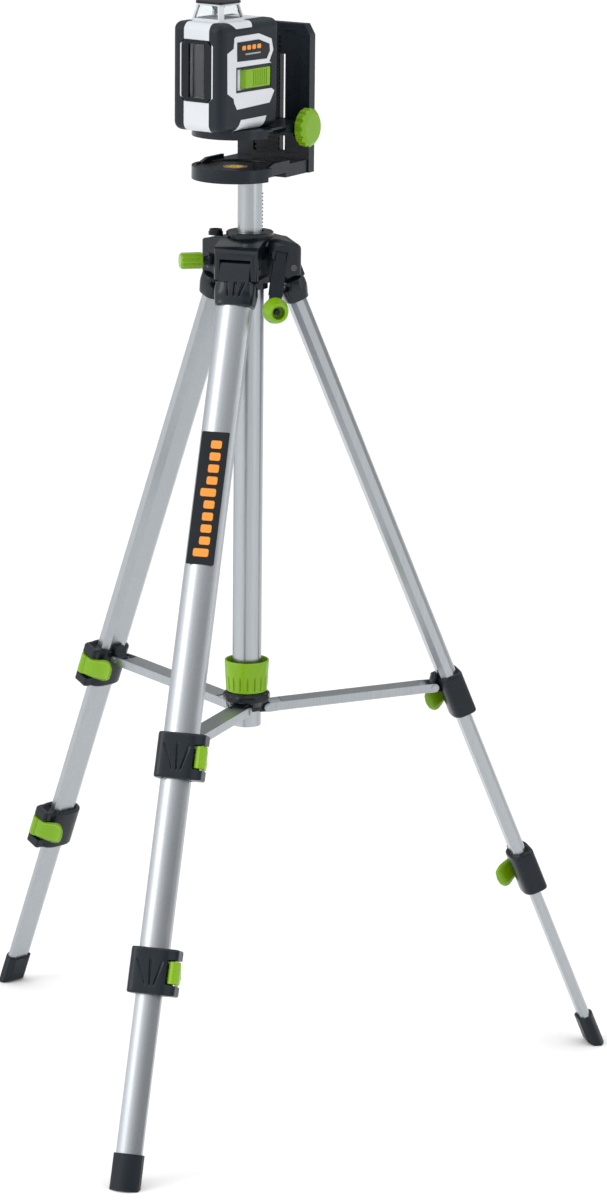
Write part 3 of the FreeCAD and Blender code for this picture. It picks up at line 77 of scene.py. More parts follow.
class Shader:
    """A Principled material with short calls for the nodes used here."""

    def __init__(self, name):
        self.material = bpy.data.materials.new(name)
        self.material.use_nodes = True
        self.nodes = self.material.node_tree.nodes
        self.links = self.material.node_tree.links
        self.surface = self.nodes["Principled BSDF"]
        self.position = self.nodes.new("ShaderNodeTexCoord").outputs["Object"]

    def set(self, **values):
        for name, value in values.items():
            self.surface.inputs[name.replace("_", " ")].default_value = value

    def stretched(self, scale):
        node = self.nodes.new("ShaderNodeMapping")
        node.inputs["Scale"].default_value = scale
        self.links.new(self.position, node.inputs["Vector"])
        return node.outputs["Vector"]

    def noise(self, scale, detail=3.0, vector=None):
        node = self.nodes.new("ShaderNodeTexNoise")
        node.inputs["Scale"].default_value = scale
        node.inputs["Detail"].default_value = detail
        node.inputs["Roughness"].default_value = 0.5
        self.links.new(vector or self.position, node.inputs["Vector"])
        return node.outputs["Fac"]

    def spread(self, value, low, high):
        """Stretches the middle of a noise's range to low..high."""
        node = self.nodes.new("ShaderNodeMapRange")
        node.inputs["From Min"].default_value = 0.3
        node.inputs["From Max"].default_value = 0.7
        node.inputs["To Min"].default_value = low
        node.inputs["To Max"].default_value = high
        self.links.new(value, node.inputs["Value"])
        return node.outputs["Result"]

    def mix(self, factor, first, second):
        """A colour between two colours. Sockets 6, 7 and output 2 are the node's colour ones."""
        node = self.nodes.new("ShaderNodeMix")
        node.data_type = "RGBA"
        for socket, value in ((6, first), (7, second)):
            node.inputs[socket].default_value = (*value, 1)
        self.links.new(factor, node.inputs[0])
        return node.outputs[2]

    def color(self, value):
        self.links.new(value, self.surface.inputs["Base Color"])

    def roughness(self, value):
        self.links.new(value, self.surface.inputs["Roughness"])

    def bump(self, value, distance):
        node = self.nodes.new("ShaderNodeBump")
        node.inputs["Distance"].default_value = distance
        node.inputs["Strength"].default_value = 1.0
        self.links.new(value, node.inputs["Height"])
        self.links.new(node.outputs["Normal"], self.surface.inputs["Normal"])


def plastic(name, dark, light, rough, grain=MOULD_GRAIN, relief=0.00004, coat=0.0, gloss=0.3):
    """Moulded plastic: fine spark-eroded grain, slow colour drift and uneven gloss."""
    s = Shader(name)
    drift = s.spread(s.noise(COLOUR_DRIFT, 4), 0, 1)
    s.color(s.mix(drift, dark, light))
    s.roughness(s.spread(s.noise(GLOSS_PATCHES), rough - 0.04, rough + 0.05))
    s.bump(s.noise(grain, 2), relief)
    s.set(Specular_IOR_Level=gloss)
    if coat:
        s.set(Coat_Weight=coat, Coat_Roughness=0.18)
    return s.material


def anodised(name, dark, light, rough):
    """Satin anodised aluminium with fine upright drawing lines."""
    s = Shader(name)
    lines = s.noise(1.0, 4, s.stretched(DRAWING_LINES))
    s.set(Metallic=0.95)
    s.color(s.mix(s.spread(lines, 0, 1), dark, light))
    s.roughness(s.spread(s.noise(TUBE_GLOSS_PATCHES), rough - 0.012, rough + 0.015))
    s.bump(lines, 0.0000015)
    return s.material


def polished_metal(name, color, rough, metallic=1.0):
    """Turned or plated metal with fine marks."""
    s = Shader(name)
    s.set(Metallic=metallic)
    rings = s.noise(TURNING_RINGS, 2)
    s.color(s.mix(s.spread(rings, 0, 1), color, tuple(c * 0.85 for c in color)))
    s.roughness(s.spread(s.noise(RING_GLOSS), rough - 0.05, rough + 0.05))
    s.bump(rings, 0.00002)
    return s.material


def clear_plastic(name, tint):
    """A window pane with a faint haze."""
    s = Shader(name)
    s.set(Base_Color=(*tint, 1), Transmission_Weight=1.0, IOR=1.46)
    s.roughness(s.spread(s.noise(WINDOW_HAZE, 2), 0.03, 0.06))
    return s.material


DARK = plastic(
    "anthracite_plastic", (0.0045, 0.0085, 0.013), (0.009, 0.0145, 0.021), 0.27, relief=0.000012,
    gloss=0.27,
)
DARK_GLOSSY = plastic(
    "anthracite_glossy", (0.004, 0.008, 0.0125), (0.008, 0.0135, 0.020), 0.19, relief=0.000004,
    gloss=0.36,
)
DARK_SMOOTH = plastic(
    "anthracite_smooth", (0.004, 0.006, 0.009), (0.007, 0.010, 0.014), 0.20, relief=0.000006,
    gloss=0.25,
)
RUBBER = plastic(
    "bumper_rubber", (0.007, 0.011, 0.016), (0.012, 0.018, 0.025), 0.42, RUBBER_GRAIN,
    relief=0.00002, gloss=0.22,
)
GREEN = plastic(
    "lime_plastic", (0.155, 0.335, 0.0), (0.205, 0.405, 0.002), 0.28, relief=0.00001,
    coat=0.12,
)
ORANGE = plastic("orange_ink", (0.80, 0.27, 0.03), (0.86, 0.31, 0.04), 0.45)
GREY_INK = plastic("grey_ink", (0.30, 0.32, 0.34), (0.36, 0.38, 0.40), 0.45)
WHITE = plastic("white_plastic", (0.58, 0.61, 0.65), (0.66, 0.68, 0.71), 0.36)
SILVER = anodised("anodised_tube", (0.385, 0.41, 0.435), (0.425, 0.45, 0.475), 0.29)
CHANNEL = anodised("anodised_channel", (0.36, 0.385, 0.41), (0.42, 0.445, 0.47), 0.36)
STEEL = polished_metal("zinc_steel", (0.66, 0.67, 0.69), 0.28)
DARK_STEEL = polished_metal("blackened_steel", (0.10, 0.105, 0.11), 0.32)
BRASS = polished_metal("brass", (1.0, 0.76, 0.30), 0.25, 0.55)
GLASS = clear_plastic("clear_window", (0.93, 0.96, 0.97))

# A leg's node takes its look from its name without the side.
LOOKS = {
    "knuckle": DARK_GLOSSY, "upper_clamp": DARK, "lower_clamp": DARK, "foot": RUBBER,
    "upper_lever": GREEN, "lower_lever": GREEN, "brace": CHANNEL,
    "upper_tube": SILVER, "middle_tube": SILVER, "lower_tube": SILVER,
    "guide_tube": SILVER, "column_tube": SILVER,
    "head_casting": DARK_GLOSSY, "head_cover": DARK_GLOSSY, "bubble_level": DARK_SMOOTH,
    "pivot_screws": DARK_STEEL,
    "guide_collar": DARK_GLOSSY, "column_rack": DARK_SMOOTH, "column_top_plate": DARK,
    "crank_shaft": STEEL, "crank_arm": DARK, "crank_knob": GREEN, "lock_knob": GREEN,
    "spreader_hub": DARK_SMOOTH, "spreader_collar": GREEN,
    "bracket_plate": DARK, "bracket_arm": DARK, "brass_insert": BRASS,
    "platform": DARK, "platform_knob": GREEN,
    "laser_screw": STEEL, "laser_housing": WHITE, "laser_bumper": RUBBER,
    "window_bezel": DARK_SMOOTH, "laser_window": GLASS, "turret_glass": GLASS,
    "turret_frame": WHITE, "turret_cap": DARK_SMOOTH, "laser_switch": GREEN,
    "pendulum": STEEL, "battery_pack": DARK,
}


def look_of(node):
    return LOOKS.get(node) or LOOKS[node.split("_", 1)[1]]


for name, item in NODES.items():
    item.data.materials.clear()
    item.data.materials.append(look_of(name))


# ---------------------------------------------------------------- softened copies

WELD_DISTANCE = 1e-6
FLAT_ANGLE = math.radians(0.6)
ROUNDED_EDGE_ANGLE = math.radians(32)


def tidy_mesh(mesh):
    """Joins doubled points and clears the triangles out of flat faces."""
    work = bmesh.new()
    work.from_mesh(mesh)
    bmesh.ops.remove_doubles(work, verts=work.verts, dist=WELD_DISTANCE)
    bmesh.ops.dissolve_limit(
        work, angle_limit=FLAT_ANGLE, verts=work.verts, edges=work.edges
    )
    for face in work.faces:
        face.smooth = True
    work.to_mesh(mesh)
    work.free()


def softened(node, width, segments=2):
    """Stands for a CAD node: the same shape with rounded edges, width in metres."""
    source = NODES[node]
    mesh = source.data.copy()
    mesh.name = node + "_soft"
    tidy_mesh(mesh)
    piece = bpy.data.objects.new(node + "_soft", mesh)
    bpy.context.scene.collection.objects.link(piece)
    bevel = piece.modifiers.new("rounding", "BEVEL")
    bevel.width = width
    bevel.segments = segments
    bevel.limit_method = "ANGLE"
    bevel.angle_limit = ROUNDED_EDGE_ANGLE
    bevel.harden_normals = True
    bevel.miter_outer = "MITER_ARC"
    piece.modifiers.new("even", "WEIGHTED_NORMAL").keep_sharp = True
    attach(piece, BODY_OF[node])
    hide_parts(node)


# ---------------------------------------------------------------- lofted pieces

JOINTS = {joint["name"]: joint for joint in frame["record"]["behaviour"]["joints"]}
SIDES = ("front", "left", "right")
UP = Vector((0, 0, 1))
MM = 0.001


def axes(x, y, z, origin):
    """A placement from its three unit axes and its origin in metres."""
    matrix = Matrix((x, y, z)).transposed().to_4x4()
    matrix.translation = origin
    return matrix


def shifted(matrix, x, y, z):
    """A placement moved along its own axes, in millimetres."""
    return matrix @ Matrix.Translation((x * MM, y * MM, z * MM))


def round_angles(count):
    return [2 * math.pi * k / count for k in range(count)]


def ring_at(radii, angles, z):
    return [(r * math.cos(a), r * math.sin(a), z) for r, a in zip(radii, angles)]


def loft(rings, close_start=False, close_end=False, loop=False):
    """Points and faces of a skin through rings that have the same number of points."""
    count = len(rings[0])
    points = [tuple(p) for ring in rings for p in ring]
    faces = []
    last = len(rings) if loop else len(rings) - 1
    for i in range(last):
        a, b = i * count, (i + 1) % len(rings) * count
        for k in range(count):
            m = (k + 1) % count
            faces.append((a + k, a + m, b + m, b + k))
    for wanted, ring_start in ((close_start, 0), (close_end, (len(rings) - 1) * count)):
        if wanted:
            ring = points[ring_start : ring_start + count]
            centre = tuple(sum(p[i] for p in ring) / count for i in range(3))
            points.append(centre)
            middle = len(points) - 1
            faces += [(ring_start + k, ring_start + (k + 1) % count, middle) for k in range(count)]
    return points, faces


def extruded(profile, half_width):
    """A solid with an x, z profile, half_width to each side in y."""
    sides = [[(x, y, z) for x, z in profile] for y in (-half_width, half_width)]
    return loft(sides, True, True)


def joined(*parts):
    """Several shapes as one."""
    points, faces = [], []
    for part_points, part_faces in parts:
        base = len(points)
        points += part_points
        faces += [tuple(i + base for i in face) for face in part_faces]
    return points, faces


def piece(name, shape, matrix, body, material, replaced=(), slot=None, bevel=0.0, angle=40):
    """A new object from a shape in millimetres, placed by a matrix in metres, on a body."""
    points, faces = shape
    mesh = bpy.data.meshes.new(name)
    mesh.from_pydata([tuple(c * MM for c in p) for p in points], [], faces)
    mesh.transform(matrix)
    work = bmesh.new()
    work.from_mesh(mesh)
    bmesh.ops.recalc_face_normals(work, faces=work.faces)
    for face in work.faces:
        face.smooth = True
    work.to_mesh(mesh)
    work.free()
    mesh.materials.append(material)
    item = bpy.data.objects.new(name, mesh)
    bpy.context.scene.collection.objects.link(item)
    if bevel:
        rounding = item.modifiers.new("rounding", "BEVEL")
        rounding.width = bevel * MM
        rounding.segments = 3
        rounding.limit_method = "ANGLE"
        rounding.angle_limit = math.radians(angle)
    item.modifiers.new("even", "WEIGHTED_NORMAL").keep_sharp = True
    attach(item, body)
    if replaced:
        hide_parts(*replaced)
    return item


def oval(angle, depth, width, power):
    """The distance to a rounded box's edge: depth along x, width along y."""
    c, s = abs(math.cos(angle)) / depth, abs(math.sin(angle)) / width
    return (c**power + s**power) ** (-1 / power)


def smooth_step(value, low, high):
    t = min(max((value - low) / (high - low), 0), 1)
    return t * t * (3 - 2 * t)


def groove_depth(y, z, grooves):
    """How deep the fan of grooves is at a point of the front face."""
    depth = 0.0
    for y_top, y_low, z_top, z_low, width, deep in grooves:
        along = (z_top - z) / (z_top - z_low)
        if -0.1 < along < 1.1:
            middle = y_top + (y_low - y_top) * min(max(along, 0), 1)
            half = width * (1.0 - 0.45 * min(max(along, 0), 1)) / 2
            across = 1 - smooth_step(abs(y - middle), half * 0.55, half * 1.25)
            ends = smooth_step(along, -0.08, 0.06) * (1 - smooth_step(along, 0.92, 1.08))
            depth = max(depth, deep * across * ends)
    return depth


def edge_inset(distance, radius):
    """How far a rounded edge draws in at a distance from the end."""
    if distance >= radius:
        return 0.0
    return radius - math.sqrt(max(radius**2 - (radius - distance) ** 2, 0))


def steps(low, high, count, radius, fine=4):
    """Heights from low to high, closer together at both rounded ends."""
    ends = [radius * (1 - math.cos(math.pi / 2 * i / fine)) for i in range(fine)]
    middle = [low + radius + (high - low - 2 * radius) * i / count for i in range(count + 1)]
    return [low + e for e in ends] + middle + [high - e for e in reversed(ends)]


def down_the_leg(side, joint_name):
    """A frame at a joint of a leg: x outward, y along the leg's hinge axis, z up the leg."""
    hinge = Vector(JOINTS[side + "_leg_hinge"]["axis"]).normalized()
    up_leg = -Vector(JOINTS[side + "_middle_slide"]["axis"]).normalized()
    out = hinge.cross(up_leg).normalized()
    return axes(out, hinge, up_leg, Vector(JOINTS[joint_name]["pos_m"]))


def arc(centre_a, centre_b, radius, start, end, count):
    """Points of an arc in a profile, from one angle to another in degrees."""
    angles = [math.radians(start + (end - start) * i / count) for i in range(count + 1)]
    return [(centre_a + radius * math.cos(t), centre_b + radius * math.sin(t)) for t in angles]


# ---------------------------------------------------------------- clamps, levers and knuckles

# The lever's pin from the middle of its clamp.
LEVER_X, LEVER_Y = 5.6, 23.4
# How far the lever's free end leans up or down its leg.
LEVER_RISE = {"front": -2.4, "left": 6.0, "right": -4.5}
# The spreader's pin at the back of an upper clamp.
LUG_X, LUG_Z, LUG_HALF_WIDTH = 18.1, 15.0, 6.0
# From an upper clamp's middle up to the leg's top.
LEG_TOP = 460.0
CLAMP_DEPTH, CLAMP_WIDTH, CLAMP_HALF, CLAMP_EDGE = 12.0, 20.0, 21.5, 2.0
EAR_REACH, EAR_FRONT, EAR_BACK = 27.0, 10.6, 6.0
WINDOW_FLOOR, WINDOW_HALF = 17.0, 10.8
# Each groove: y at its top and foot, z at its top and foot, width, depth.
CLAMP_GROOVES = [
    (-11.2, -2.2, 9.5, -13.0, 2.3, 1.25),
    (1.2, 2.8, 10.5, -13.5, 2.4, 1.35),
    (13.0, 6.8, 9.0, -13.0, 2.3, 1.25),
]
KNUCKLE_GROOVES = [
    (-7.2, -4.6, -9.6, -25.0, 3.2, 1.9),
    (2.4, 1.6, -9.2, -24.5, 3.4, 2.0),
    (11.4, 6.6, -10.0, -25.0, 3.2, 1.9),
]
# The half sizes of the tube that each clamp slides on, with its play.
CLAMP_BORES = {"upper": (7.4, 14.5), "lower": (5.8, 12.6)}


def clamp_radius(angle):
    """The clamp's plan: a rounded box with the two ears that hold the lever's pin."""
    c, s = math.cos(angle), math.sin(angle)
    radius = oval(angle, CLAMP_DEPTH, CLAMP_WIDTH, 5.0 if c > 0 else 2.7)
    if s > 0.6:
        ear = min(EAR_REACH / s, EAR_FRONT / c if c > 0 else EAR_BACK / max(-c, 0.01))
        radius = max(radius, ear)
    return radius


def clamp_shape(bore_depth, bore_width, has_lug):
    """A clamp's body: a window for the lever between the ears, and a fan of grooves in front."""
    count = 264
    angles = round_angles(count)
    plain = [clamp_radius(a) for a in angles]
    plan = [
        sum(plain[(k + j) % count] * w for j, w in zip(range(-3, 4), (1, 2, 3, 4, 3, 2, 1))) / 16
        for k in range(count)
    ]
    rings = []
    for z in steps(-CLAMP_HALF, CLAMP_HALF, 58, CLAMP_EDGE):
        inset = edge_inset(CLAMP_HALF - abs(z), CLAMP_EDGE)
        open_share = 1 - smooth_step(abs(z), WINDOW_HALF, WINDOW_HALF + 1)
        radii = []
        for a, plan_radius in zip(angles, plan):
            c, s = math.cos(a), math.sin(a)
            radius = plan_radius - inset
            if s > 0.4 and c > -0.3 and WINDOW_FLOOR / s < radius:
                radius += (WINDOW_FLOOR / s - radius) * open_share
            if c > 0:
                radius -= groove_depth(radius * s, z, CLAMP_GROOVES) * smooth_step(c, 0.2, 0.4)
            radii.append(radius)
        rings.append(ring_at(radii, angles, z))
    bore = [oval(a, bore_depth, bore_width, 4.0) for a in angles]
    rings += [ring_at(bore, angles, z) for z in (CLAMP_HALF, -CLAMP_HALF)]
    body = loft(rings, loop=True)
    if not has_lug:
        return body
    profile = [(-9.5, 6), (-9.5, 26), (-14.0, 26)] + arc(-LUG_X, LUG_Z, 4.2, 100, 240, 7)
    return joined(body, extruded(profile, LUG_HALF_WIDTH))


def smooth_path(path, pieces):
    """A Catmull-Rom curve through the path's points, with so many pieces between two of them."""
    fine = []
    last = len(path) - 1
    for i in range(last):
        corners = [path[min(max(i + o, 0), last)] for o in (-1, 0, 1, 2)]
        for t in [j / pieces for j in range(pieces)]:
            fine.append(tuple(
                0.5 * (2 * b + (c - a) * t + (2 * a - 5 * b + 4 * c - d) * t**2
                       + (3 * b - a - 3 * c + d) * t**3)
                for a, b, c, d in zip(*corners)
            ))
    return fine + [path[-1]]


# The paddle's middle line from the pin round the clamp's side: x, y, thickness.
PADDLE_LINE = [
    (0.0, 0.0, 5.6), (-4.5, 1.6, 4.6), (-9.5, 1.3, 3.9), (-14.5, -0.2, 3.6), (-19.5, -2.6, 3.5),
    (-24.5, -4.7, 3.4), (-29.0, -5.4, 3.2), (-33.0, -4.4, 2.6),
]
PADDLE_HALF, PADDLE_FLARE = 10.3, 2.0
BARREL_HALF, BARREL_RADIUS, BARREL_EDGE, BARREL_RIPPLE = 10.4, 5.4, 0.9, 0.12


def lever_shape(rise):
    """The clamp's flip lever: a barrel and a wavy paddle that lies round the clamp's side."""
    rings = []
    line = smooth_path(PADDLE_LINE, 4)
    total = len(line) - 1
    for i, (x, y, thick) in enumerate(line):
        before, after = line[max(i - 1, 0)], line[min(i + 1, total)]
        tangent = Vector((after[0] - before[0], after[1] - before[1], 0)).normalized()
        normal = Vector((-tangent.y, tangent.x, 0))
        share = i / total
        tall = PADDLE_HALF + PADDLE_FLARE * smooth_step(share, 0.3, 0.8)
        tall *= 1 - edge_inset((1 - share) * 14, 5.0) / 6.0
        sway = rise * smooth_step(share, 0.1, 0.9)
        ring = []
        for a in round_angles(28):
            r = oval(a, thick / 2, tall, 4.5)
            u, v = r * math.cos(a), r * math.sin(a)
            ring.append((x + normal.x * u, y + normal.y * u, v + sway))
        rings.append(ring)
    paddle = loft(rings, True, True)
    barrel = []
    angles = round_angles(72)
    for z in steps(-BARREL_HALF, BARREL_HALF, 4, BARREL_EDGE):
        r = BARREL_RADIUS - edge_inset(BARREL_HALF - abs(z), BARREL_EDGE)
        barrel.append(ring_at([r + BARREL_RIPPLE * math.cos(12 * t) for t in angles], angles, z))
    return joined(paddle, loft(barrel, True, True))


KNUCKLE_LOW, KNUCKLE_HIGH, KNUCKLE_EDGE, THROAT_TOP = -33.0, -8.6, 1.2, -14.0
TONGUE_HALF_WIDTH = 14.7


def knuckle_shape():
    """The leg's plastic top: a bulged barrel that runs up into the tongue between the cheeks."""
    angles = round_angles(224)
    throat = [oval(a, 8.9, 16.6, 4) for a in angles]
    rings = [
        ring_at([0.02] * len(angles), angles, THROAT_TOP),
        ring_at(throat, angles, THROAT_TOP),
        ring_at(throat, angles, KNUCKLE_LOW),
    ]
    for z in steps(KNUCKLE_LOW, KNUCKLE_HIGH, 56, KNUCKLE_EDGE):
        t = (z - KNUCKLE_LOW) / (KNUCKLE_HIGH - KNUCKLE_LOW)
        swell = math.sin(math.pi * min(max(0.12 + 0.70 * t, 0), 1)) ** 0.8
        shoulder = smooth_step(t, 0.80, 1.0)
        inset = edge_inset(z - KNUCKLE_LOW, KNUCKLE_EDGE)
        front = 10.9 + 2.8 * smooth_step(t, 0.0, 0.55)
        # The back draws in under the head, which the leg folds towards.
        tuck = smooth_step(z, -21.0, -15.0)
        back = (10.9 + 2.2 * swell) * (1 - tuck) + 7.9 * tuck
        width = (17.2 + 3.1 * swell) * (1 - shoulder) + 14.6 * shoulder
        power = 3.2 + 5.0 * shoulder
        radii = []
        for a in angles:
            c, s = math.cos(a), math.sin(a)
            r = oval(a, front if c > 0 else back, width, power) - inset
            if c > 0.1:
                r -= groove_depth(r * s, z, KNUCKLE_GROOVES) * smooth_step(c, 0.1, 0.3)
            radii.append(r)
        rings.append(ring_at(radii, angles, z))
    barrel = loft(rings, True, True)
    # The tongue is round the leg's pivot at the back, and squarer in front to fill the fork.
    profile = [(-3.6, -12), (13.75, -12), (13.9, -4), (13.9, 3.0)]
    profile += [
        (10.4 + 3.5 * math.cos(t), 4.2 + 4.6 * math.sin(t))
        for t in [math.radians(12 * i) for i in range(1, 9)]
    ]
    profile += arc(5.0, 0.0, 8.9, 105, 180, 5)
    return joined(barrel, extruded(profile, TONGUE_HALF_WIDTH))


def clamp_middle(at_lever, up=0.0):
    """From a lever's pin to its clamp's middle, and so far up the leg."""
    return shifted(at_lever, -LEVER_X, -LEVER_Y, up)


for side in SIDES:
    for which, bore in CLAMP_BORES.items():
        name = f"{side}_{which}_"
        at_lever = down_the_leg(side, name + "lever_turn")
        piece(
            name + "clamp_shell", clamp_shape(*bore, which == "upper"), clamp_middle(at_lever),
            BODY_OF[name + "clamp"], DARK, (name + "clamp",),
        )
        piece(
            name + "lever_paddle", lever_shape(LEVER_RISE[side]), at_lever,
            BODY_OF[name + "lever"], GREEN, (name + "lever",),
        )
    leg_top = clamp_middle(down_the_leg(side, side + "_upper_lever_turn"), LEG_TOP)
    piece(
        side + "_knuckle_barrel", knuckle_shape(), leg_top, BODY_OF[side + "_knuckle"],
        DARK_GLOSSY, (side + "_knuckle",), bevel=0.7, angle=50,
    )
    softened(side + "_foot", 0.0012, 3)


# ---------------------------------------------------------------- turned shapes


def round_shape(profile, count, wave=None):
    """A turned shape round z; wave(angle, r, z) gives how far a point moves outward."""
    angles = round_angles(count)
    rings = []
    for r, z in profile:
        radii = [r + (wave(a, r, z) if wave else 0.0) for a in angles]
        rings.append(ring_at(radii, angles, z))
    return loft(rings, loop=True)


HUB_TOP = 383.0
FLUTES, FLUTE_DEPTH = 18, 1.15
HUB_LOBES, LOBE_HEIGHT = 9, 0.9
column_x, column_y, _ = JOINTS["collar_turn"]["pos_m"]
at_column = shifted(Matrix.Translation((column_x, column_y, 0)), 0, 0, HUB_TOP)


def collar_wave(angle, r, z):
    """Short grooves round the outside of the collar's lower half."""
    if r < 19:
        return 0.0
    from_middle = abs((math.degrees(angle) * FLUTES / 360.0) % 1.0 - 0.5)
    along = smooth_step(z, 1.2, 3.0) * (1 - smooth_step(z, 13, 18))
    return -FLUTE_DEPTH * (1 - smooth_step(from_middle, 0.04, 0.15)) * along


collar_flank = [(19.9 + 1.6 * i / 24, 1.6 + 26.4 * i / 24) for i in range(25)]
collar_profile = (
    [(17.9, 0.2)] + arc(18.7, 1.4, 1.2, -90, 0, 7) + collar_flank
    + arc(20.4, 29.8, 1.1, 0, 180, 7) + [(18.4, 26), (17.9, 24)]
)
piece(
    "spreader_collar_fluted", round_shape(collar_profile, 432, collar_wave), at_column,
    BODY_OF["spreader_collar"], GREEN, ("spreader_collar",),
)


def hub_wave(angle, r, z):
    """Soft lobes round the hub's rim."""
    lobe = 0.5 + 0.5 * math.cos(HUB_LOBES * (angle - math.radians(30)))
    return LOBE_HEIGHT * lobe * smooth_step(r, 19.5, 22.0)


hub_profile = [(17.0, -0.3)] + [
    (18.4 + 3.9 * math.cos(t), 5.3 * math.sin(t) - 5.6)
    for t in [math.radians(90 - 12 * i) for i in range(16)]
] + [(17.2, -9.5)]
piece(
    "spreader_hub_rim", round_shape(hub_profile, 288, hub_wave), at_column,
    BODY_OF["spreader_hub"], DARK_SMOOTH, slot="dark_plastic",
)

# The head's threaded boss, which the lock knob's screw runs through: radius, distance from the
# column's axis. The lock's joint is LOCK_REACH from that axis.
LOCK_REACH = 40.0
lock = JOINTS["lock_turn"]
lock_axis = Vector(lock["axis"]).normalized()
lock_side = lock_axis.cross(UP).normalized()
at_lock = axes(lock_side, lock_axis.cross(lock_side), lock_axis, Vector(lock["pos_m"]))
boss_profile = [
    (3.3, 30.0), (7.4, 30.0), (7.4, 33.4), (6.9, 34.0), (6.2, 34.2), (6.2, 36.6), (6.9, 36.8),
    (7.3, 37.4), (7.3, 40.2), (6.8, 41.0), (5.6, 41.6), (5.4, 44.4), (5.0, 44.9), (3.3, 44.9),
]
piece(
    "lock_boss", round_shape(boss_profile, 96), shifted(at_lock, 0, 0, -LOCK_REACH),
    BODY_OF["head_casting"], DARK, slot="dark_plastic", bevel=0.25, angle=30,
)


# ---------------------------------------------------------------- labels

# Each label is a dark field with plain orange blocks where the lettering would be.
TUBE_FACE, LASER_SIDE = 8.75, 29.5


def plate_shape(corners, height, thickness, flat="x"):
    """A thin plate: its corners in two axes, laid at a height along the third."""
    rings = []
    for level in (height, height + thickness):
        if flat == "x":
            rings.append([(level, a, b) for a, b in corners])
        else:
            rings.append([(a, level, b) for a, b in corners])
    return loft(rings, True, True)


def bar(a0, b0, a1, b1, nick):
    """A bar's corners, each cut off by a nick."""
    return [
        (a0 + nick, b0), (a1 - nick, b0), (a1, b0 + nick), (a1, b1 - nick), (a1 - nick, b1),
        (a0 + nick, b1), (a0, b1 - nick), (a0, b0 + nick),
    ]


at_leg = clamp_middle(down_the_leg("front", "front_upper_lever_turn"), LEG_TOP)
piece(
    "leg_label", plate_shape(bar(-13.6, -280.5, 13.6, -154.5, 0.8), TUBE_FACE - 0.05, 0.22),
    at_leg, "front leg", DARK_SMOOTH, slot="dark_plastic",
)
LEG_BLOCK_REACH = (8.0, 3.4, 3.4, 3.4, 3.4, 8.0, 3.4, 3.4, 3.4, 3.4)
LEG_BLOCK_START, LEG_BLOCK_STEP, LEG_BLOCK_TALL = -273.0, 11.4, 7.6
blocks = []
for k, reach in enumerate(LEG_BLOCK_REACH):
    z = LEG_BLOCK_START + LEG_BLOCK_STEP * k
    corners = bar(-reach, z, 7.2, z + LEG_BLOCK_TALL, 1.2)
    blocks.append(plate_shape(corners, TUBE_FACE + 0.14, 0.1))
piece("leg_label_blocks", joined(*blocks), at_leg, "front leg", ORANGE, slot="dark_plastic")

# The laser's frame: x out of its window, y out of its labelled side.
lens_way = Vector(JOINTS["switch_slide"]["axis"]).normalized()
at_laser = axes(lens_way, UP.cross(lens_way), UP, Vector(JOINTS["laser_turn"]["pos_m"]))
field = [(36.2, 65.4), (36.4, 83.2), (3.8, 83.4), (-12.4, 78.0), (-13.3, 71.4), (-8.6, 64.6)]
piece(
    "laser_label", plate_shape(field, LASER_SIDE - 0.1, 0.35, "y"), at_laser, "laser",
    DARK_SMOOTH, slot="dark_plastic",
)
blocks = [
    plate_shape(bar(x, 75.2, x + 5.6, 79.4, 0.8), LASER_SIDE + 0.2, 0.1, "y")
    for x in [0.5 + 7.6 * k for k in range(4)]
]
piece("laser_label_blocks", joined(*blocks), at_laser, "laser", ORANGE, slot="dark_plastic")
piece(
    "laser_label_line", plate_shape(bar(1.0, 70.6, 24.0, 72.0, 0.4), LASER_SIDE + 0.2, 0.1, "y"),
    at_laser, "laser", GREY_INK, slot="dark_plastic",
)


# ---------------------------------------------------------------- rounded CAD shapes

for node, width in {
    "head_casting": 0.0016, "head_cover": 0.0022, "crank_arm": 0.0006, "crank_knob": 0.0006,
    "lock_knob": 0.0005, "spreader_hub": 0.0014, "bracket_plate": 0.0008, "bracket_arm": 0.0010,
    "platform": 0.0009, "platform_knob": 0.0006, "laser_housing": 0.0004,
    "window_bezel": 0.0004, "turret_cap": 0.0004, "turret_frame": 0.0003,
    "laser_switch": 0.0004,
}.items():
    softened(node, width)


# ---------------------------------------------------------------- floor and light

FLOOR_HALF = 30

pale = Shader("pale_floor")
pale.set(Base_Color=(0.93, 0.93, 0.93, 1), Roughness=0.9)
floor_mesh = bpy.data.meshes.new("floor")
floor_mesh.from_pydata(
    [(x * FLOOR_HALF, y * FLOOR_HALF, 0) for x, y in ((-1, -1), (1, -1), (1, 1), (-1, 1))],
    [], [(0, 1, 2, 3)],
)
floor_mesh.materials.append(pale.material)
floor = bpy.data.objects.new("floor", floor_mesh)
floor.location = (0, 0, cad_low.z)
bpy.context.scene.collection.objects.link(floor)

# Soft light panels round the room: share of the way round from straight left of the object,
# by the front, and brightness.
PANELS = (
    (0.00, 0.42), (0.09, 0.78), (0.15, 0.66), (0.21, 0.34), (0.28, 0.10), (0.36, 0.08),
    (0.43, 0.24), (0.51, 0.62), (0.60, 0.26), (0.74, 0.05), (0.90, 0.10), (1.00, 0.42),
)
CEILING = 0.56
ROOM_STRENGTH = 2.4

world = bpy.data.worlds.new("studio")
world.use_nodes = True
sky, sky_links = world.node_tree.nodes, world.node_tree.links


def unit_range(value, low, high):
    """Maps a value's range to 0..1."""
    node = sky.new("ShaderNodeMapRange")
    node.inputs["From Min"].default_value = low
    node.inputs["From Max"].default_value = high
    sky_links.new(value, node.inputs["Value"])
    return node.outputs[0]


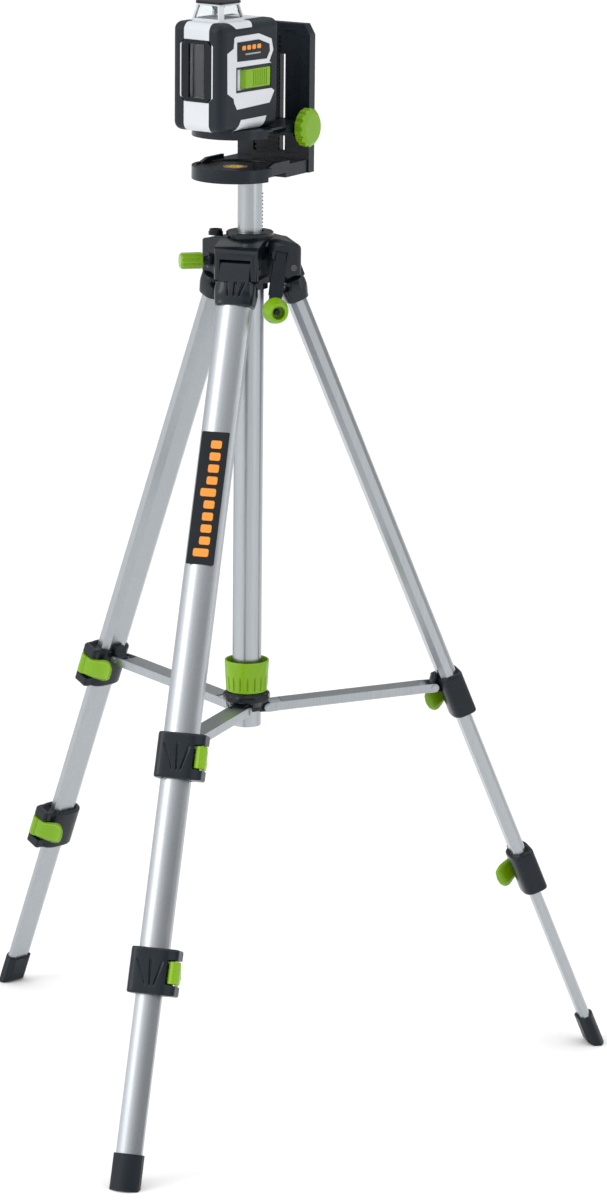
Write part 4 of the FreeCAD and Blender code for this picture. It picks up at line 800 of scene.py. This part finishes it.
direction = sky.new("ShaderNodeSeparateXYZ")
sky_links.new(sky.new("ShaderNodeTexCoord").outputs["Generated"], direction.inputs[0])
compass = sky.new("ShaderNodeMath")
compass.operation = "ARCTAN2"
sky_links.new(direction.outputs["Y"], compass.inputs[0])
sky_links.new(direction.outputs["X"], compass.inputs[1])
panels = sky.new("ShaderNodeValToRGB")
while len(panels.color_ramp.elements) < len(PANELS):
    panels.color_ramp.elements.new(0.5)
for element, (place, value) in zip(panels.color_ramp.elements, PANELS):
    element.position = place
    element.color = (value, value, value, 1)
sky_links.new(unit_range(compass.outputs[0], -math.pi, math.pi), panels.inputs[0])
# Sockets 6, 7 and output 2 are the mix node's colour ones.
blend = sky.new("ShaderNodeMix")
blend.data_type = "RGBA"
sky_links.new(unit_range(direction.outputs["Z"], 0.35, 0.75), blend.inputs[0])
sky_links.new(panels.outputs["Color"], blend.inputs[6])
blend.inputs[7].default_value = (CEILING, CEILING, CEILING, 1)
sky_links.new(blend.outputs[2], sky["Background"].inputs["Color"])
sky["Background"].inputs["Strength"].default_value = ROOM_STRENGTH
bpy.context.scene.world = world
bpy.context.scene.view_settings.view_transform = "Standard"


def area_light(name, location, size, power):
    """A soft box that faces the middle of the object."""
    data = bpy.data.lights.new(name, "AREA")
    data.shape = "RECTANGLE"
    data.size, data.size_y = size
    data.energy = power
    item = bpy.data.objects.new(name, data)
    item.location = location
    aim = Vector((0, 0, 0.6)) - Vector(location)
    item.rotation_euler = aim.to_track_quat("-Z", "Y").to_euler()
    bpy.context.scene.collection.objects.link(item)


area_light("key", (-2.4, -2.2, 2.4), (1.2, 2.6), 27)
area_light("fill", (2.8, -1.2, 1.6), (0.9, 2.6), 10)


# ---------------------------------------------------------------- camera

CAMERA_PLACE = Vector((1.31077, -4.06946, 1.52874))
CAMERA_LENS, SENSOR_WIDTH = 139.82, 36
yaw, pitch, roll = (math.radians(a) for a in (-16.79, -13.62, 0.566))

camera_data = bpy.data.cameras.new("camera")
camera_data.lens = CAMERA_LENS
camera_data.sensor_width = SENSOR_WIDTH
camera = bpy.data.objects.new("camera", camera_data)
forward = Vector(
    (math.sin(yaw) * math.cos(pitch), math.cos(yaw) * math.cos(pitch), math.sin(pitch))
)
level_right = forward.cross(UP).normalized()
level_up = level_right.cross(forward)
camera.matrix_world = axes(
    level_right * math.cos(roll) + level_up * math.sin(roll),
    level_up * math.cos(roll) - level_right * math.sin(roll),
    -forward, CAMERA_PLACE,
)
bpy.context.scene.collection.objects.link(camera)
bpy.context.scene.camera = camera
